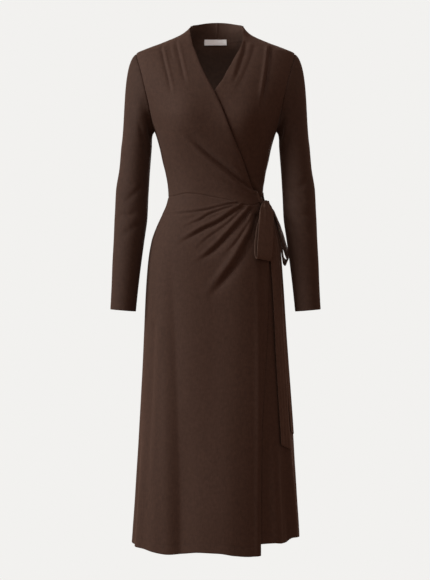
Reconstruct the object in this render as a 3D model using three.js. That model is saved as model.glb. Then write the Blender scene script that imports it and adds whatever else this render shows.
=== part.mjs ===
// A long-sleeved midi wrap dress in fine jersey, in its worn shape with nobody in it.
// Millimetres: +Z is up, the front faces -Y, and +X is the wearer's left.
// The origin lies between the two shoulder seams, where the wearer's shoulders hold the dress up.
// Every panel is a thin wall over one smooth figure, placed by an angle round it and a height.
import * as THREE from "three";

// Driving sizes
const WALL = 1.6; // cloth thickness
const SEAM_GAP = 0.3; // between two pieces that are sewn together
const OVER_LIFT = 3.8; // the over front lies this far outside the under front
const UNDER_SINK = 9; // the covered part of the under front lies this far in, clear of the folds
const WAIST_Z = -360; // waist seam
const HEM_Z = -1170; // at the side seam under the wearer's right arm
const NECK_POINT_Z = 21; // where the shoulder seam meets the collar
const BACK_NECK_Z = 18.6; // back neck seam at the centre
const COLLAR_SIDE_Z = 43; // top edge of the collar beside the neck
const COLLAR_FRONT_Z = 40; // and at its front corner
const COLLAR_BACK_Z = 65.2; // top edge of the collar at the centre back
const ARMPIT_Z = -205;
const SHOULDER_TIP_Z = -22;
const TIE_WIDTH = 34;
const SQUARENESS = 2.3; // exponent of the figure's sections: 2 is an ellipse
const DRESS_COLOUR = 0x3d2d26;
const LABEL_COLOUR = 0xf2f0ea;

const table = (columns, rows) =>
  rows.map((row) => Object.fromEntries(columns.map((name, i) => [name, row[i]])));

// The figure under the cloth: half width, depth in front and behind, and centre, at each height.
const SECTIONS = table(["z", "half", "front", "back", "centre"], [
  [-1190, 198.7, 154, 149, 0.5],
  [-1130, 195.1, 150, 146, 1.3],
  [-1074, 191.2, 146.5, 142.8, 1.4],
  [-1017, 187.7, 142, 139.5, 1.4],
  [-956, 183.7, 137, 136, 1.4],
  [-890, 179.6, 132.4, 132.3, 1.1],
  [-814, 174.6, 127, 128, 0.3],
  [-745, 170, 122, 124.5, -0.7],
  [-673, 165.9, 118, 121, -1.7],
  [-573, 160.9, 112, 118, -2.1],
  [-517, 156.7, 108, 117, -2],
  [-489, 153.6, 105, 115, -1.5],
  [-460, 148.2, 101, 111, -1],
  [-432, 138.7, 96, 103, -0.5],
  [-404, 126.6, 90, 92, 0],
  [-375, 114.5, 85, 80, 0],
  [-354, 110.5, 83, 75, 0],
  [-333, 112, 84, 76, 0],
  [-304, 117, 88, 79, 0],
  [-276, 124, 94.5, 84, 0],
  [-248, 130, 102.5, 89, 0],
  [-219, 138, 110, 94, 0],
  [-205, 143, 113, 97, 0],
  [-175, 158, 115.5, 100, 0],
  [-143, 172, 113, 101, 0],
  [-109, 187, 105, 99, 0],
  [-79, 192, 95, 94, 0],
  [-50, 191, 82, 86, 0],
  [-35, 190, 73, 79, 0],
  [-22, 186, 65, 73, 0],
  [-14, 169.5, 60, 69, 0],
  [-7, 151.5, 56, 66, 0],
  [0, 132.5, 52, 64, 0],
  [7, 115.5, 48, 63, 0],
  [14, 98.5, 46, 64, 0.4],
  [21, 84.5, 46, 66, 1],
  [28, 74.5, 48, 67, 2],
  [35, 67, 50, 67, 3],
  [43, 61.5, 51, 66, 3.8],
  [55, 60.5, 52, 65, 4.2],
  [68, 59, 52, 64, 4.6],
]);

// The two cups that the front's darts and gathers leave room for.
const CUP = { x: 78, z: -182, out: 12, halfWidth: 45, halfHeight: 55 };

// Distance from the centre plane of the armhole seam, seen from the front.
const ARMHOLE = table(["z", "x"], [
  [-205, 143],
  [-191, 146.5],
  [-169, 151],
  [-143, 156],
  [-118, 162],
  [-88, 169],
  [-56, 177.5],
  [-35, 184],
  [-22, 186],
]);

// The free edge of each front, from the collar's corner down to the waist.
const OVER_EDGE = table(["z", "x"], [
  [43, -55.5],
  [36, -59],
  [30, -59.6],
  [16, -58.7],
  [8, -57],
  [-10.5, -53.2],
  [-25, -47.8],
  [-38, -43.5],
  [-50, -39.2],
  [-63.5, -34.6],
  [-76.5, -29],
  [-98.5, -18.9],
  [-120, -7],
  [-131.8, -1.2],
  [-174, 18],
  [-230, 40],
  [-291, 68],
  [-334, 91],
  [-348, 99],
  [-360, 103],
]);
const UNDER_EDGE = table(["z", "x"], [
  [43, 61],
  [36, 64],
  [24.5, 64.4],
  [-3, 63.2],
  [-16.5, 58.4],
  [-27, 53],
  [-39, 46.3],
  [-50, 40.7],
  [-62.5, 34.8],
  [-72.5, 29],
  [-97, 16.8],
  [-109, 8.4],
  [-122, -0.3],
  [-174, -22],
  [-230, -44],
  [-291, -66],
  [-360, -88],
]);

// The over skirt's free edge, from the knot down to the hem.
const SKIRT_EDGE = table(["z", "x"], [
  [-360, 103],
  [-400, 111],
  [-440, 115],
  [-521, 120],
  [-601, 119],
  [-817, 110],
  [-895, 105],
  [-1175, 103],
]);
const FLUTE_FULL_Z = -1110; // below this height the waves are at their deepest
const UNDER_SKIRT_END = -52; // degrees: how far the under skirt reaches under the over skirt

// The waist seam of the over front dips towards the knot.
const OVER_WAIST = table(["angle", "z"], [
  [-90, -360],
  [-58, -359],
  [-33, -355],
  [-16, -358],
  [1, -366],
  [14, -373],
  [27, -382],
  [41, -383],
  [56, -378],
  [70, -372],
]);

// Folds drawn towards the knot or up to the shoulder seams, seen from the front.
// ridge is +1 where the cloth stands up on the left of the way from start to end, -1 on the right.
const FOLD_COLUMNS = [
  "startX", "startZ", "midX", "midZ", "endX", "endZ", "depth", "width", "ridge",
];
const OVER_FOLDS = table(FOLD_COLUMNS, [
  [-112, -400, -20, -394, 50, -380, 2.4, 6.5, 1],
  [-84, -438, -30, -412, 50, -384, 3, 6.5, 1],
  [-98, -480, -15, -433, 62, -385, 5.2, 8, 1],
  [-52, -498, 8, -441, 68, -386, 2.2, 7, 1],
  [-54, -522, 24, -458, 84, -387, 6, 8.5, 1],
  [-22, -606, 58, -498, 97, -400, 8, 11.5, 1],
  [-66, -229, 27, -303, 94, -352, 4.6, 9, -1],
  [-98, -122, -119, -52, -127, -8, 4.4, 7, -1],
  [-68, -92, -84, -38, -94, 8, 3, 7, -1],
  [-95, -1010, -97, -780, -110, -560, 7, 11, 1],
]);
const UNDER_FOLDS = table(FOLD_COLUMNS, [
  [106, -142, 121, -72, 128, -6, 5.8, 8, 1],
  [34, -120, 57, -62, 70, 4, 3.4, 8, 1],
  [104, -196, 101, -265, 92, -330, 2.4, 9, 1],
]);

// Height of each skirt panel's hem round the dress.
const HEM = table(["panel", "angle", "z"], [
  ["over", -90, HEM_Z],
  ["over", -58, -1168],
  ["over", -31, -1174.5],
  ["over", -20, -1171.5],
  ["over", -8, -1167],
  ["over", 1, -1168],
  ["over", 9, -1173],
  ["over", 20, -1176.5],
  ["over", 50, -1176.5],
  ["under", -52, -1152],
  ["under", 38, -1151],
  ["under", 48, -1154],
  ["under", 55, -1154],
  ["under", 62, -1147],
  ["under", 90, -1159],
  ["back", 90, -1159],
  ["back", 180, -1168],
  ["back", 270, HEM_Z],
]);

// Soft upright waves of the skirt that grow towards the hem, all the way round.
const FLUTES = table(["angle", "out", "halfWidth", "topZ"], [
  [-76, -5, 6, -800],
  [-62, 7, 7, -820],
  [-44, 4, 9, -700],
  [-19, -7, 11, -720],
  [4, 4, 12, -700],
  [31, -4, 8, -760],
  [44, 5, 7, -760],
  [56, -7, 6, -820],
  [66, 6, 6, -840],
  [78, -3, 4.5, -860],
  [112, 6, 9, -560],
  [131, -6, 9, -620],
  [152, 7, 10, -560],
  [174, -6, 10, -600],
  [197, 6, 10, -560],
  [219, -7, 10, -620],
  [243, 6, 9, -560],
]);

// A sleeve below the armpit, from its centre line and its half sizes.
const SLEEVE = table(["z", "x", "y", "halfWidth", "halfDepth"], [
  [-240, 186, -1, 35.4, 47],
  [-290, 190, -2, 35.6, 45],
  [-347, 196, -4, 38, 43.5],
  [-404, 198.5, -8, 38, 42],
  [-460, 203, -14, 35.4, 39],
  [-517, 208, -20, 33, 36],
  [-573, 212, -26, 30.6, 33],
  [-625, 215.7, -31, 29.2, 31],
]);
const CUFF_TILT = 2.5; // the cuff hangs this much lower on its inner side

// The knot, and the bands that leave it: places on the figure with a distance out from it.
const KNOT = { angle: 70.5, z: -382, out: 9.7, radii: [6, 10, 10] };
// rise is how much higher the band's back edge lies than its front edge.
const BAND_COLUMNS = ["angle", "z", "out", "width", "tilt", "rise"];
const FRONT_LOOP = table(BAND_COLUMNS, [
  [64.5, -375.5, 15.1, 14, 8, 0],
  [62.1, -380.5, 16.2, 18.5, 12, 0],
  [59.5, -386, 17.4, 21.5, 16, 0],
  [56.6, -394, 18.8, 26.5, 14, 0],
  [53.8, -405, 19, 32, 10, 0],
  [50.6, -421, 18, 35, 4, -1],
  [46.7, -440, 17.5, 35.4, 0, -2],
  [42, -475, 17.5, 35, 0, -4],
  [40.4, -498, 17, 34, 0, -5],
  [40.1, -506.5, 15, 33.5, 0, -5],
  [39.9, -509.5, 12.5, 32, 0, -5],
  [39.6, -506.5, 9.6, 33.5, 0, -5],
  [39.4, -497, 8.4, 35, 0, -5],
  [40.6, -475, 8, 35, 0, -4],
  [46, -440, 8.2, 34, 0, -2],
  [51.4, -421, 8.6, 31, 0, -1],
  [55.5, -408, 9, 27, 0, 0],
  [59.5, -399, 9.6, 20, 4, 0],
  [61.7, -394, 10, 11, 6, 0],
]);
const SIDE_LOOP = table(BAND_COLUMNS, [
  [77.6, -389, 11.6, 10, 0, 0],
  [79.6, -398, 13.4, 15, 0, 0],
  [82, -411, 14, 22, 1, 0],
  [83.4, -430, 13.4, 28, 8, 0],
  [84, -443, 12.6, 30, 10, 0],
  [84.6, -458, 12.6, 31, 12, 1],
  [86.6, -475, 13.2, 31, 15, 4],
  [89.6, -493, 16, 28, 20, 9],
  [90.8, -502, 18.6, 26, 20, 12],
  [91.1, -509, 16.6, 26, 19, 13],
  [91.2, -514, 12.4, 26, 16, 14],
  [91, -510, 8.2, 26, 12, 13],
  [90.2, -502, 6.4, 26, 8, 12],
  [88.4, -493, 6.2, 27, 8, 9],
  [85.6, -478, 6.8, 30, 9, 4],
  [83.8, -464, 7.2, 31, 10, 1],
  [82.6, -448, 7.4, 31, 10, 0],
  [82, -430, 7.8, 29, 10, 0],
  [81.8, -414, 9.2, 22, 8, 0],
  [81, -402, 9.8, 15, 6, 0],
  [80, -396, 9.4, 10, 0, 0],
]);
const TAILS = table(
  ["name", "topAngle", "angle", "lowAngle", "topOut", "out", "endZ", "slant"],
  [
    ["tie_tail_front", 71, 60, 58, 5.4, 4.7, -939, -14],
    ["tie_tail_side", 73, 73.5, 77, 2.3, 2.2, -911, -8],
  ],
);
const TAIL_TOP_Z = -393;
const SIDE_STRAP = { from: 76.8, to: 89.5, halfHeight: 12, endHalfHeight: 7, out: 2.2 };
const FRONT_STUB = { from: 53.2, to: 64.2, halfHeight: 12, endHalfHeight: 8, out: 5.9 };
const LABEL = { halfWidth: 27, topZ: 24.5, bottomZ: 10.5, thick: 0.8, gap: 1.3 };

// Number of cells along and across each piece.
const OVER_COLUMNS = 22;
// The rows beside the armhole are shared by the fronts, the back and the sleeves.
const ARMHOLE_CELLS = 10;
const SHOULDER_LEVELS = [
  [WAIST_Z, 8],
  [ARMPIT_Z, ARMHOLE_CELLS, "eased"],
  [SHOULDER_TIP_Z, 6],
  [NECK_POINT_Z, 3],
];
const BODICE_LEVELS = [...SHOULDER_LEVELS, [COLLAR_SIDE_Z, 0]];
const OVER_SKIRT_LEVELS = [[HEM_Z, 5], [-900, 3], [-640, 9], [-490, 6], [-408, 4], [WAIST_Z, 0]];
const SKIRT_LEVELS = [[HEM_Z, 5], [-900, 3], [-640, 3], [-490, 3], [-408, 4], [WAIST_Z, 0]];

const radians = (degrees) => (degrees * Math.PI) / 180;
const degrees = (angle) => (angle * 180) / Math.PI;
const mix = (a, b, t) => a + (b - a) * t;
const ramp = (from, to, x) => {
  const t = Math.min(1, Math.max(0, (x - from) / (to - from)));
  return t * t * (3 - 2 * t);
};
const bell = (x, halfWidth) => Math.exp(-((x / halfWidth) ** 2));

// A smooth curve through two columns of a table. It never swings past its rows.
function curve(rows, from, to) {
  const sorted = [...rows].sort((a, b) => a[from] - b[from]);
  const xs = sorted.map((row) => row[from]);
  const ys = sorted.map((row) => row[to]);
  const last = xs.length - 1;
  const rise = xs.slice(1).map((x, i) => (ys[i + 1] - ys[i]) / (x - xs[i]));
  const slope = xs.map((_, i) => {
    if (i === 0 || i === last) return rise[Math.min(i, last - 1)];
    const [before, after] = [rise[i - 1], rise[i]];
    return before * after <= 0 ? 0 : (2 * before * after) / (before + after);
  });
  return (x) => {
    const inside = Math.min(xs[last], Math.max(xs[0], x));
    const i = Math.max(0, Math.min(last - 1, xs.findIndex((end) => end >= inside) - 1));
    const step = xs[i + 1] - xs[i];
    const t = (inside - xs[i]) / step;
    return (
      ys[i] * (1 + 2 * t) * (1 - t) ** 2 +
      slope[i] * step * t * (1 - t) ** 2 +
      ys[i + 1] * t * t * (3 - 2 * t) +
      slope[i + 1] * step * t * t * (t - 1)
    );
  };
}

const halfAt = curve(SECTIONS, "z", "half");
const frontAt = curve(SECTIONS, "z", "front");
const backAt = curve(SECTIONS, "z", "back");
const centreAt = curve(SECTIONS, "z", "centre");
const armholeAt = curve(ARMHOLE, "z", "x");
const overEdgeAt = curve(OVER_EDGE, "z", "x");
const underEdgeAt = curve(UNDER_EDGE, "z", "x");
const skirtEdgeAt = curve(SKIRT_EDGE, "z", "x");
const overWaistAt = curve(OVER_WAIST, "angle", "z");
const hemAt = Object.fromEntries(
  ["over", "under", "back"].map((name) => {
    const rows = HEM.filter((row) => row.panel === name);
    return [name, curve(rows, "angle", "z")];
  }),
);
const hemDrop = (panel, angle, z) => (hemAt[panel](angle) - HEM_Z) * ramp(-900, HEM_Z, z);

// Heights from a list of [height, cells up to the next height, whether they crowd at its ends].
function levels(list) {
  const all = list.slice(0, -1).flatMap(([z, cells, eased], i) =>
    Array.from({ length: cells }, (_, k) => {
      const share = eased ? (1 - Math.cos((Math.PI * k) / cells)) / 2 : k / cells;
      return mix(z, list[i + 1][0], share);
    }),
  );
  return [...all, list.at(-1)[0]];
}

// The figure's surface. The angle is 0 at the centre front, 90 at the wearer's left, 180 behind.
function skin(angle, z) {
  const [s, c] = [Math.sin(radians(angle)), Math.cos(radians(angle))];
  const power = 2 / SQUARENESS;
  const x = halfAt(z) * Math.sign(s) * Math.abs(s) ** power;
  const depth = c >= 0 ? frontAt(z) : backAt(z);
  let y = -depth * Math.sign(c) * Math.abs(c) ** power;
  if (c > 0) {
    const cups = bell(x - CUP.x, CUP.halfWidth) + bell(x + CUP.x, CUP.halfWidth);
    y -= CUP.out * cups * bell(z - CUP.z, CUP.halfHeight) * ramp(0, 0.4, c);
  }
  return new THREE.Vector3(x + centreAt(z), y, z);
}

// The angle at which the front's surface has this x.
function angleOf(x, z) {
  const away = x - centreAt(z);
  const share = Math.min(1, Math.abs(away) / halfAt(z));
  return Math.sign(away) * degrees(Math.asin(share ** (SQUARENESS / 2)));
}

// Where a panel ends at the side: the side seam, the armhole, or the shoulder seam.
function sideAngle(z) {
  if (z <= ARMPIT_Z || z >= SHOULDER_TIP_Z) return 90;
  return angleOf(armholeAt(z), z);
}

function normalOf(surface, angle, z) {
  const [stepAngle, stepZ] = [0.2, 0.5];
  const across = surface(angle + stepAngle, z).sub(surface(angle - stepAngle, z));
  const up = surface(angle, z + stepZ).sub(surface(angle, z - stepZ));
  return across.cross(up).normalize();
}

// The way a point is off a fold's line: how far along it (0 to 1) and to which side.
function offLine(line, x, z) {
  let best = { distance: Infinity, along: 0, side: 1 };
  for (let i = 0; i < line.length - 1; i++) {
    const [ax, az] = line[i];
    const [dx, dz] = [line[i + 1][0] - ax, line[i + 1][1] - az];
    const t = Math.min(1, Math.max(0, ((x - ax) * dx + (z - az) * dz) / (dx * dx + dz * dz)));
    const [px, pz] = [x - ax - t * dx, z - az - t * dz];
    const distance = Math.hypot(px, pz);
    if (distance < best.distance)
      best = { distance, along: (i + t) / (line.length - 1), side: Math.sign(dx * pz - dz * px) };
  }
  return best;
}

// A trough with a soft ridge along one side, faded out at both ends.
const FOLD_STEPS = 10;
function withLine(fold) {
  const start = new THREE.Vector2(fold.startX, fold.startZ);
  const end = new THREE.Vector2(fold.endX, fold.endZ);
  const mid = new THREE.Vector2(fold.midX, fold.midZ);
  const control = mid.multiplyScalar(2).sub(start.clone().add(end).multiplyScalar(0.5));
  const path = new THREE.QuadraticBezierCurve(start, control, end);
  return { ...fold, line: path.getPoints(FOLD_STEPS).map((p) => [p.x, p.y]) };
}
function foldRelief(folds, x, z) {
  let out = 0;
  for (const fold of folds) {
    const { distance, along, side } = offLine(fold.line, x, z);
    const off = (-side * fold.ridge * distance) / fold.width; // negative on the ridge's side
    const trough = -fold.depth * bell(off, off < 0 ? 0.75 : 1.1);
    const ridge = 0.55 * fold.depth * bell(off + 1.5, 0.8);
    out += (trough + ridge) * ramp(0, 0.3, along) * ramp(1, 0.82, along);
  }
  return out;
}

function fluteRelief(angle, z) {
  const round = ((angle % 360) + 360) % 360;
  let out = 0;
  for (const flute of FLUTES) {
    const away = ((round - flute.angle + 540) % 360) - 180;
    out += flute.out * bell(away, flute.halfWidth) * ramp(flute.topZ, FLUTE_FULL_Z, z);
  }
  return out;
}

// Cloth laid over the figure, pushed out by lift(angle, x, z).
const draped = (lift) => (angle, z) => {
  const place = skin(angle, z);
  return place.addScaledVector(normalOf(skin, angle, z), lift(angle, place.x, z));
};

const overFolds = OVER_FOLDS.map(withLine);
const underFolds = UNDER_FOLDS.map(withLine);

// The over front stands off the under front beside its own edge, and further in the
// under front lies deeper, clear of the over front's folds.
const overEdge = (z) => (z > WAIST_Z ? overEdgeAt(z) : skirtEdgeAt(z));
const overLift = (x, z) => OVER_LIFT * ramp(130, 60, overEdge(z) - x) * ramp(-30, -100, z);
const underSink = (x, z) => -UNDER_SINK * ramp(-2, 24, overEdge(z) - x) * ramp(-60, -110, z);

const overCloth = draped((angle, x, z) =>
  Math.abs(angle) > 90
    ? 0
    : overLift(x, z) + foldRelief(overFolds, x, z) + fluteRelief(angle, z),
);
const underCloth = draped((angle, x, z) =>
  Math.abs(angle) > 90
    ? 0
    : foldRelief(underFolds, x, z) + fluteRelief(angle, z) + underSink(x, z),
);
const backCloth = draped((angle, x, z) => fluteRelief(angle, z));

// A sheet is a list of points with their normals, and the triangles between them.
const newSheet = () => ({ points: [], normals: [], faces: [], seen: new Map() });
const MERGE = 1e3; // points that agree to a thousandth of a millimetre are one point
function addPoint(sheet, point, normal) {
  const key = point.toArray().map((v) => Math.round(v * MERGE)).join();
  if (!sheet.seen.has(key)) {
    sheet.seen.set(key, sheet.points.length);
    sheet.points.push(point);
    sheet.normals.push(normal);
  }
  return sheet.seen.get(key);
}

// Adds a grid to a sheet. at(u, v) gives [point, normal], and u and v are lists of values.
function addGrid(sheet, us, vs, at) {
  const ids = vs.map((v) => us.map((u) => addPoint(sheet, ...at(u, v))));
  for (let r = 0; r < vs.length - 1; r++)
    for (let c = 0; c < us.length - 1; c++) {
      const [a, b, d, e] = [ids[r][c], ids[r][c + 1], ids[r + 1][c + 1], ids[r + 1][c]];
      if (new Set([a, b, d]).size === 3) sheet.faces.push([a, b, d]);
      if (new Set([a, d, e]).size === 3) sheet.faces.push([a, d, e]);
    }
  return sheet;
}

// Points and normals of a cloth surface, given where (u, v) lies on it as [angle, z].
const onCloth = (surface, where) => (u, v) => {
  const [angle, z] = where(u, v);
  return [surface(angle, z), normalOf(surface, angle, z)];
};

// Gives a sheet its thickness: two skins, and a rim wherever an edge has one triangle only.
function wall(sheet, thickness = WALL) {
  const count = sheet.points.length;
  const skins = [1, -1].flatMap((way) =>
    sheet.points.map((p, i) => p.clone().addScaledVector(sheet.normals[i], (way * thickness) / 2)),
  );
  const uses = new Map();
  for (const [a, b, c] of sheet.faces)
    for (const [from, to] of [[a, b], [b, c], [c, a]]) uses.set(`${from},${to}`, [from, to]);
  const rim = [...uses.values()].filter(([from, to]) => !uses.has(`${to},${from}`));
  const triangles = [
    ...sheet.faces,
    ...sheet.faces.map(([a, b, c]) => [a + count, c + count, b + count]),
    ...rim.flatMap(([from, to]) => [
      [from, from + count, to + count],
      [from, to + count, to],
    ]),
  ];
  const geometry = new THREE.BufferGeometry().setFromPoints(skins);
  geometry.setIndex(facingOut(skins, triangles).flat());
  geometry.computeVertexNormals();
  return geometry;
}

// Turns every triangle round if they enclose a negative volume.
function facingOut(points, triangles) {
  const volume = triangles.reduce(
    (sum, [a, b, c]) => sum + points[a].dot(new THREE.Vector3().crossVectors(points[b], points[c])),
    0,
  );
  return volume > 0 ? triangles : triangles.map(([a, b, c]) => [a, c, b]);
}

// Replaces a sheet's normals by the mean of the triangles round each point.
function smoothNormals(sheet) {
  sheet.normals = sheet.points.map(() => new THREE.Vector3());
  for (const face of sheet.faces) {
    const [a, b, c] = face.map((i) => sheet.points[i]);
    const turn = b.clone().sub(a).cross(c.clone().sub(a));
    for (const i of face) sheet.normals[i].add(turn);
  }
  for (const normal of sheet.normals) normal.normalize();
  return sheet;
}

const steps = (cells) => Array.from({ length: cells + 1 }, (_, i) => i / cells);
const SEAM_ANGLE = 0.15; // degrees: half a seam gap on the widest curve
const SIDE_TRIM = 0.25; // degrees that each front stops short of the side and shoulder seams
const isNeck = (z) => z > NECK_POINT_Z - 0.1;

// The collar grows on from each front and ends at the centre back seam.
const neckSeamAt = (angle) =>
  mix(BACK_NECK_Z, NECK_POINT_Z, Math.abs(Math.sin(radians(angle))) ** 2);
function collarTopAt(angle) {
  if (Math.abs(angle) < 90)
    return mix(COLLAR_FRONT_Z, COLLAR_SIDE_Z, ramp(62, 90, Math.abs(angle)));
  const sine = Math.abs(Math.sin(radians(angle)));
  return mix(COLLAR_BACK_Z, COLLAR_SIDE_Z, 0.68 * sine ** 2 + 0.32 * sine ** 40);
}
const neckDrop = (angle, z) => {
  const share = Math.max(0, z - NECK_POINT_Z) / (COLLAR_SIDE_Z - NECK_POINT_Z);
  return (collarTopAt(angle) - COLLAR_SIDE_Z) * share;
};
const COLLAR_CELLS = 9;
function addCollar(sheet, surface, from, to) {
  const rows = BODICE_LEVELS.at(-2)[1];
  return addGrid(
    sheet,
    steps(COLLAR_CELLS).map((u) => mix(from, to, u)),
    steps(rows),
    onCloth(surface, (angle, v) => [angle, mix(neckSeamAt(angle), collarTopAt(angle), v)]),
  );
}

const shrunk = (list, low, high) => {
  const all = levels(list);
  all[0] += low;
  all[all.length - 1] -= high;
  return all;
};

function frontOver() {
  const place = (u, z) => {
    const outer = -sideAngle(z) + (isNeck(z) ? 0 : SIDE_TRIM);
    const angle = mix(outer, angleOf(overEdgeAt(z), z), u);
    const dip = (overWaistAt(angle) - WAIST_Z) * ramp(-255, WAIST_Z, z);
    return [angle, z + dip + neckDrop(angle, z)];
  };
  const heights = shrunk(BODICE_LEVELS, SEAM_GAP / 2, 0);
  const sheet = addGrid(newSheet(), steps(OVER_COLUMNS), heights, onCloth(overCloth, place));
  return wall(addCollar(sheet, overCloth, -180 + SEAM_ANGLE, -90));
}

function frontUnder() {
  const place = (u, z) => {
    const outer = sideAngle(z) - (isNeck(z) ? 0 : SIDE_TRIM);
    const angle = mix(angleOf(underEdgeAt(z), z), outer, u);
    return [angle, z + neckDrop(angle, z)];
  };
  const heights = shrunk(BODICE_LEVELS, SEAM_GAP / 2, 0);
  const sheet = addGrid(newSheet(), steps(17), heights, onCloth(underCloth, place));
  return wall(addCollar(sheet, underCloth, 90, 180 - SEAM_ANGLE));
}

function bodiceBack() {
  const place = (u, z) => {
    const side = sideAngle(z) - SEAM_ANGLE - 0.2 * ramp(0, NECK_POINT_Z, z);
    const angle = mix(180 - side, 180 + side, u);
    return [angle, z + (neckSeamAt(angle) - NECK_POINT_Z) * ramp(-40, NECK_POINT_Z, z)];
  };
  const heights = shrunk(SHOULDER_LEVELS, SEAM_GAP / 2, SEAM_GAP + 0.1);
  return wall(addGrid(newSheet(), steps(16), heights, onCloth(backCloth, place)));
}

function skirtOver() {
  const place = (u, z) => {
    const angle = mix(-90 + SIDE_TRIM, angleOf(skirtEdgeAt(z), z), u);
    const dip = (overWaistAt(angle) - WAIST_Z) * ramp(-460, WAIST_Z, z);
    return [angle, z + dip + hemDrop("over", angle, z)];
  };
  const heights = shrunk(OVER_SKIRT_LEVELS, 0, SEAM_GAP / 2);
  return wall(addGrid(newSheet(), steps(OVER_COLUMNS), heights, onCloth(overCloth, place)));
}

function skirtUnder() {
  const place = (u, z) => {
    const angle = mix(UNDER_SKIRT_END, 90 - SEAM_ANGLE, u);
    return [angle, z + hemDrop("under", angle, z)];
  };
  const heights = shrunk(SKIRT_LEVELS, 0, SEAM_GAP / 2);
  return wall(addGrid(newSheet(), steps(19), heights, onCloth(underCloth, place)));
}

function skirtBack() {
  const place = (u, z) => {
    const angle = mix(90 + SEAM_ANGLE, 270 - SEAM_ANGLE, u);
    return [angle, z + hemDrop("back", angle, z)];
  };
  const heights = shrunk(SKIRT_LEVELS, 0, SEAM_GAP / 2);
  return wall(addGrid(newSheet(), steps(20), heights, onCloth(backCloth, place)));
}

// A sleeve runs from the armhole, over the cap, to level rings down the arm.
const SLEEVE_GAP = 1.45;
const SLEEVE_CELLS = { round: 2 * ARMHOLE_CELLS, cap: 7, arm: 9 };
const ringAt = Object.fromEntries(
  ["x", "y", "halfWidth", "halfDepth"].map((name) => [name, curve(SLEEVE, "z", name)]),
);
function sleevePoint(turn, z) {
  const tilt = CUFF_TILT * ramp(SLEEVE[0].z, SLEEVE.at(-1).z, z) * Math.cos(turn);
  return new THREE.Vector3(
    ringAt.x(z) - ringAt.halfWidth(z) * Math.cos(turn),
    ringAt.y(z) - ringAt.halfDepth(z) * Math.sin(turn),
    z - tilt,
  );
}
function capPoint(turn, t) {
  const rise = (1 - Math.cos(turn)) / 2; // 0 at the armpit, 1 at the shoulder tip
  const z = mix(ARMPIT_Z, SHOULDER_TIP_Z, rise);
  const side = sideAngle(z);
  const start = skin(Math.sin(turn) >= 0 ? side : 180 - side, z);
  const end = sleevePoint(turn, SLEEVE[0].z);
  const leave = new THREE.Vector3(28 + 72 * rise, 18 * Math.sin(turn), -8 - 52 * rise);
  const arrive = new THREE.Vector3(2 + 30 * rise, -1, -30 - 170 * rise);
  const from = SLEEVE_GAP / leave.length();
  const k = mix(from, 1, t);
  return start
    .multiplyScalar((1 + 2 * k) * (1 - k) ** 2)
    .addScaledVector(leave, k * (1 - k) ** 2)
    .addScaledVector(end, k * k * (3 - 2 * k))
    .addScaledVector(arrive, k * k * (k - 1));
}
function sleeve(side) {
  const turns = steps(SLEEVE_CELLS.round).map((t) => 2 * Math.PI * t);
  const [top, bottom] = [SLEEVE[0].z, SLEEVE.at(-1).z];
  const down = [
    ...steps(SLEEVE_CELLS.cap).map((t) => ({ cap: true, t })),
    ...steps(SLEEVE_CELLS.arm).slice(1).map((t) => ({ cap: false, t: mix(top, bottom, t) })),
  ];
  const at = (turn, { cap, t }) => {
    const point = cap ? capPoint(turn, t) : sleevePoint(turn, t);
    point.x *= side;
    return [point, null];
  };
  return wall(smoothNormals(addGrid(newSheet(), turns, down, at)));
}

// Bands of the tie, all laid off the figure's surface.
function place(angle, z, out) {
  return skin(angle, z).addScaledVector(normalOf(skin, angle, z), out);
}
const arcPerDegree = (angle, z) => skin(angle + 0.5, z).distanceTo(skin(angle - 0.5, z));
const bandPoint = (angle, z, out, across) => place(angle + across / arcPerDegree(angle, z), z, out);

const ACROSS = 3; // cells across a band
function loop(rows) {
  const cells = steps(rows.length - 1).map((t) => t * (rows.length - 1));
  const at = (u, i) => {
    const row = rows[Math.round(i)];
    const across = (u - 0.5) * row.width;
    const out = row.out + across * Math.tan(radians(row.tilt));
    return [bandPoint(row.angle, row.z + row.rise * (u - 0.5), out, across), null];
  };
  return wall(smoothNormals(addGrid(newSheet(), steps(ACROSS), cells, at)));
}

const TAIL_CROWDING = 1.6; // rows crowd towards the knot
const TAIL_RISE = 3.6; // the tails stand this much further out where they leave the knot
function tail({ topAngle, angle, lowAngle, topOut, out: lowOut, endZ, slant }) {
  const at = (u, v) => {
    const z = mix(TAIL_TOP_Z, endZ, v ** TAIL_CROWDING);
    const upper = mix(topAngle, angle, ramp(TAIL_TOP_Z, -455, z));
    const middle = mix(upper, lowAngle, ramp(-600, endZ, z));
    const width = mix(10, TIE_WIDTH, ramp(TAIL_TOP_Z, -450, z));
    const fromKnot = TAIL_RISE * ramp(-400, TAIL_TOP_Z, z);
    const across = (u - 0.5) * width;
    const flute = fluteRelief(middle + across / arcPerDegree(middle, z), z);
    const out = mix(topOut, lowOut, ramp(-450, -520, z)) + fromKnot + flute;
    const lower = slant * (u - 0.5) * ramp(0.8, 1, v);
    return [bandPoint(middle, z + lower, out, across), null];
  };
  return wall(smoothNormals(addGrid(newSheet(), steps(ACROSS), steps(20), at)));
}

// A band round the waist, narrowed where it enters the knot.
function strap({ from, to, halfHeight, endHalfHeight, out }, knotEnd, cells) {
  const at = (u, v) => {
    const angle = mix(from, to, u);
    const near = 1 - Math.min(1, Math.abs(angle - knotEnd) / Math.abs(to - from));
    const height = mix(halfHeight, endHalfHeight, ramp(0, 1, near));
    const middle = mix(WAIST_Z, KNOT.z, ramp(0, 1, near));
    const rise = (KNOT.out - out) * near ** 3 * mix(1, 0.35, v);
    return [place(angle, middle + (v * 2 - 1) * height, out + rise), null];
  };
  return wall(smoothNormals(addGrid(newSheet(), steps(cells), steps(2), at)));
}

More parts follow.
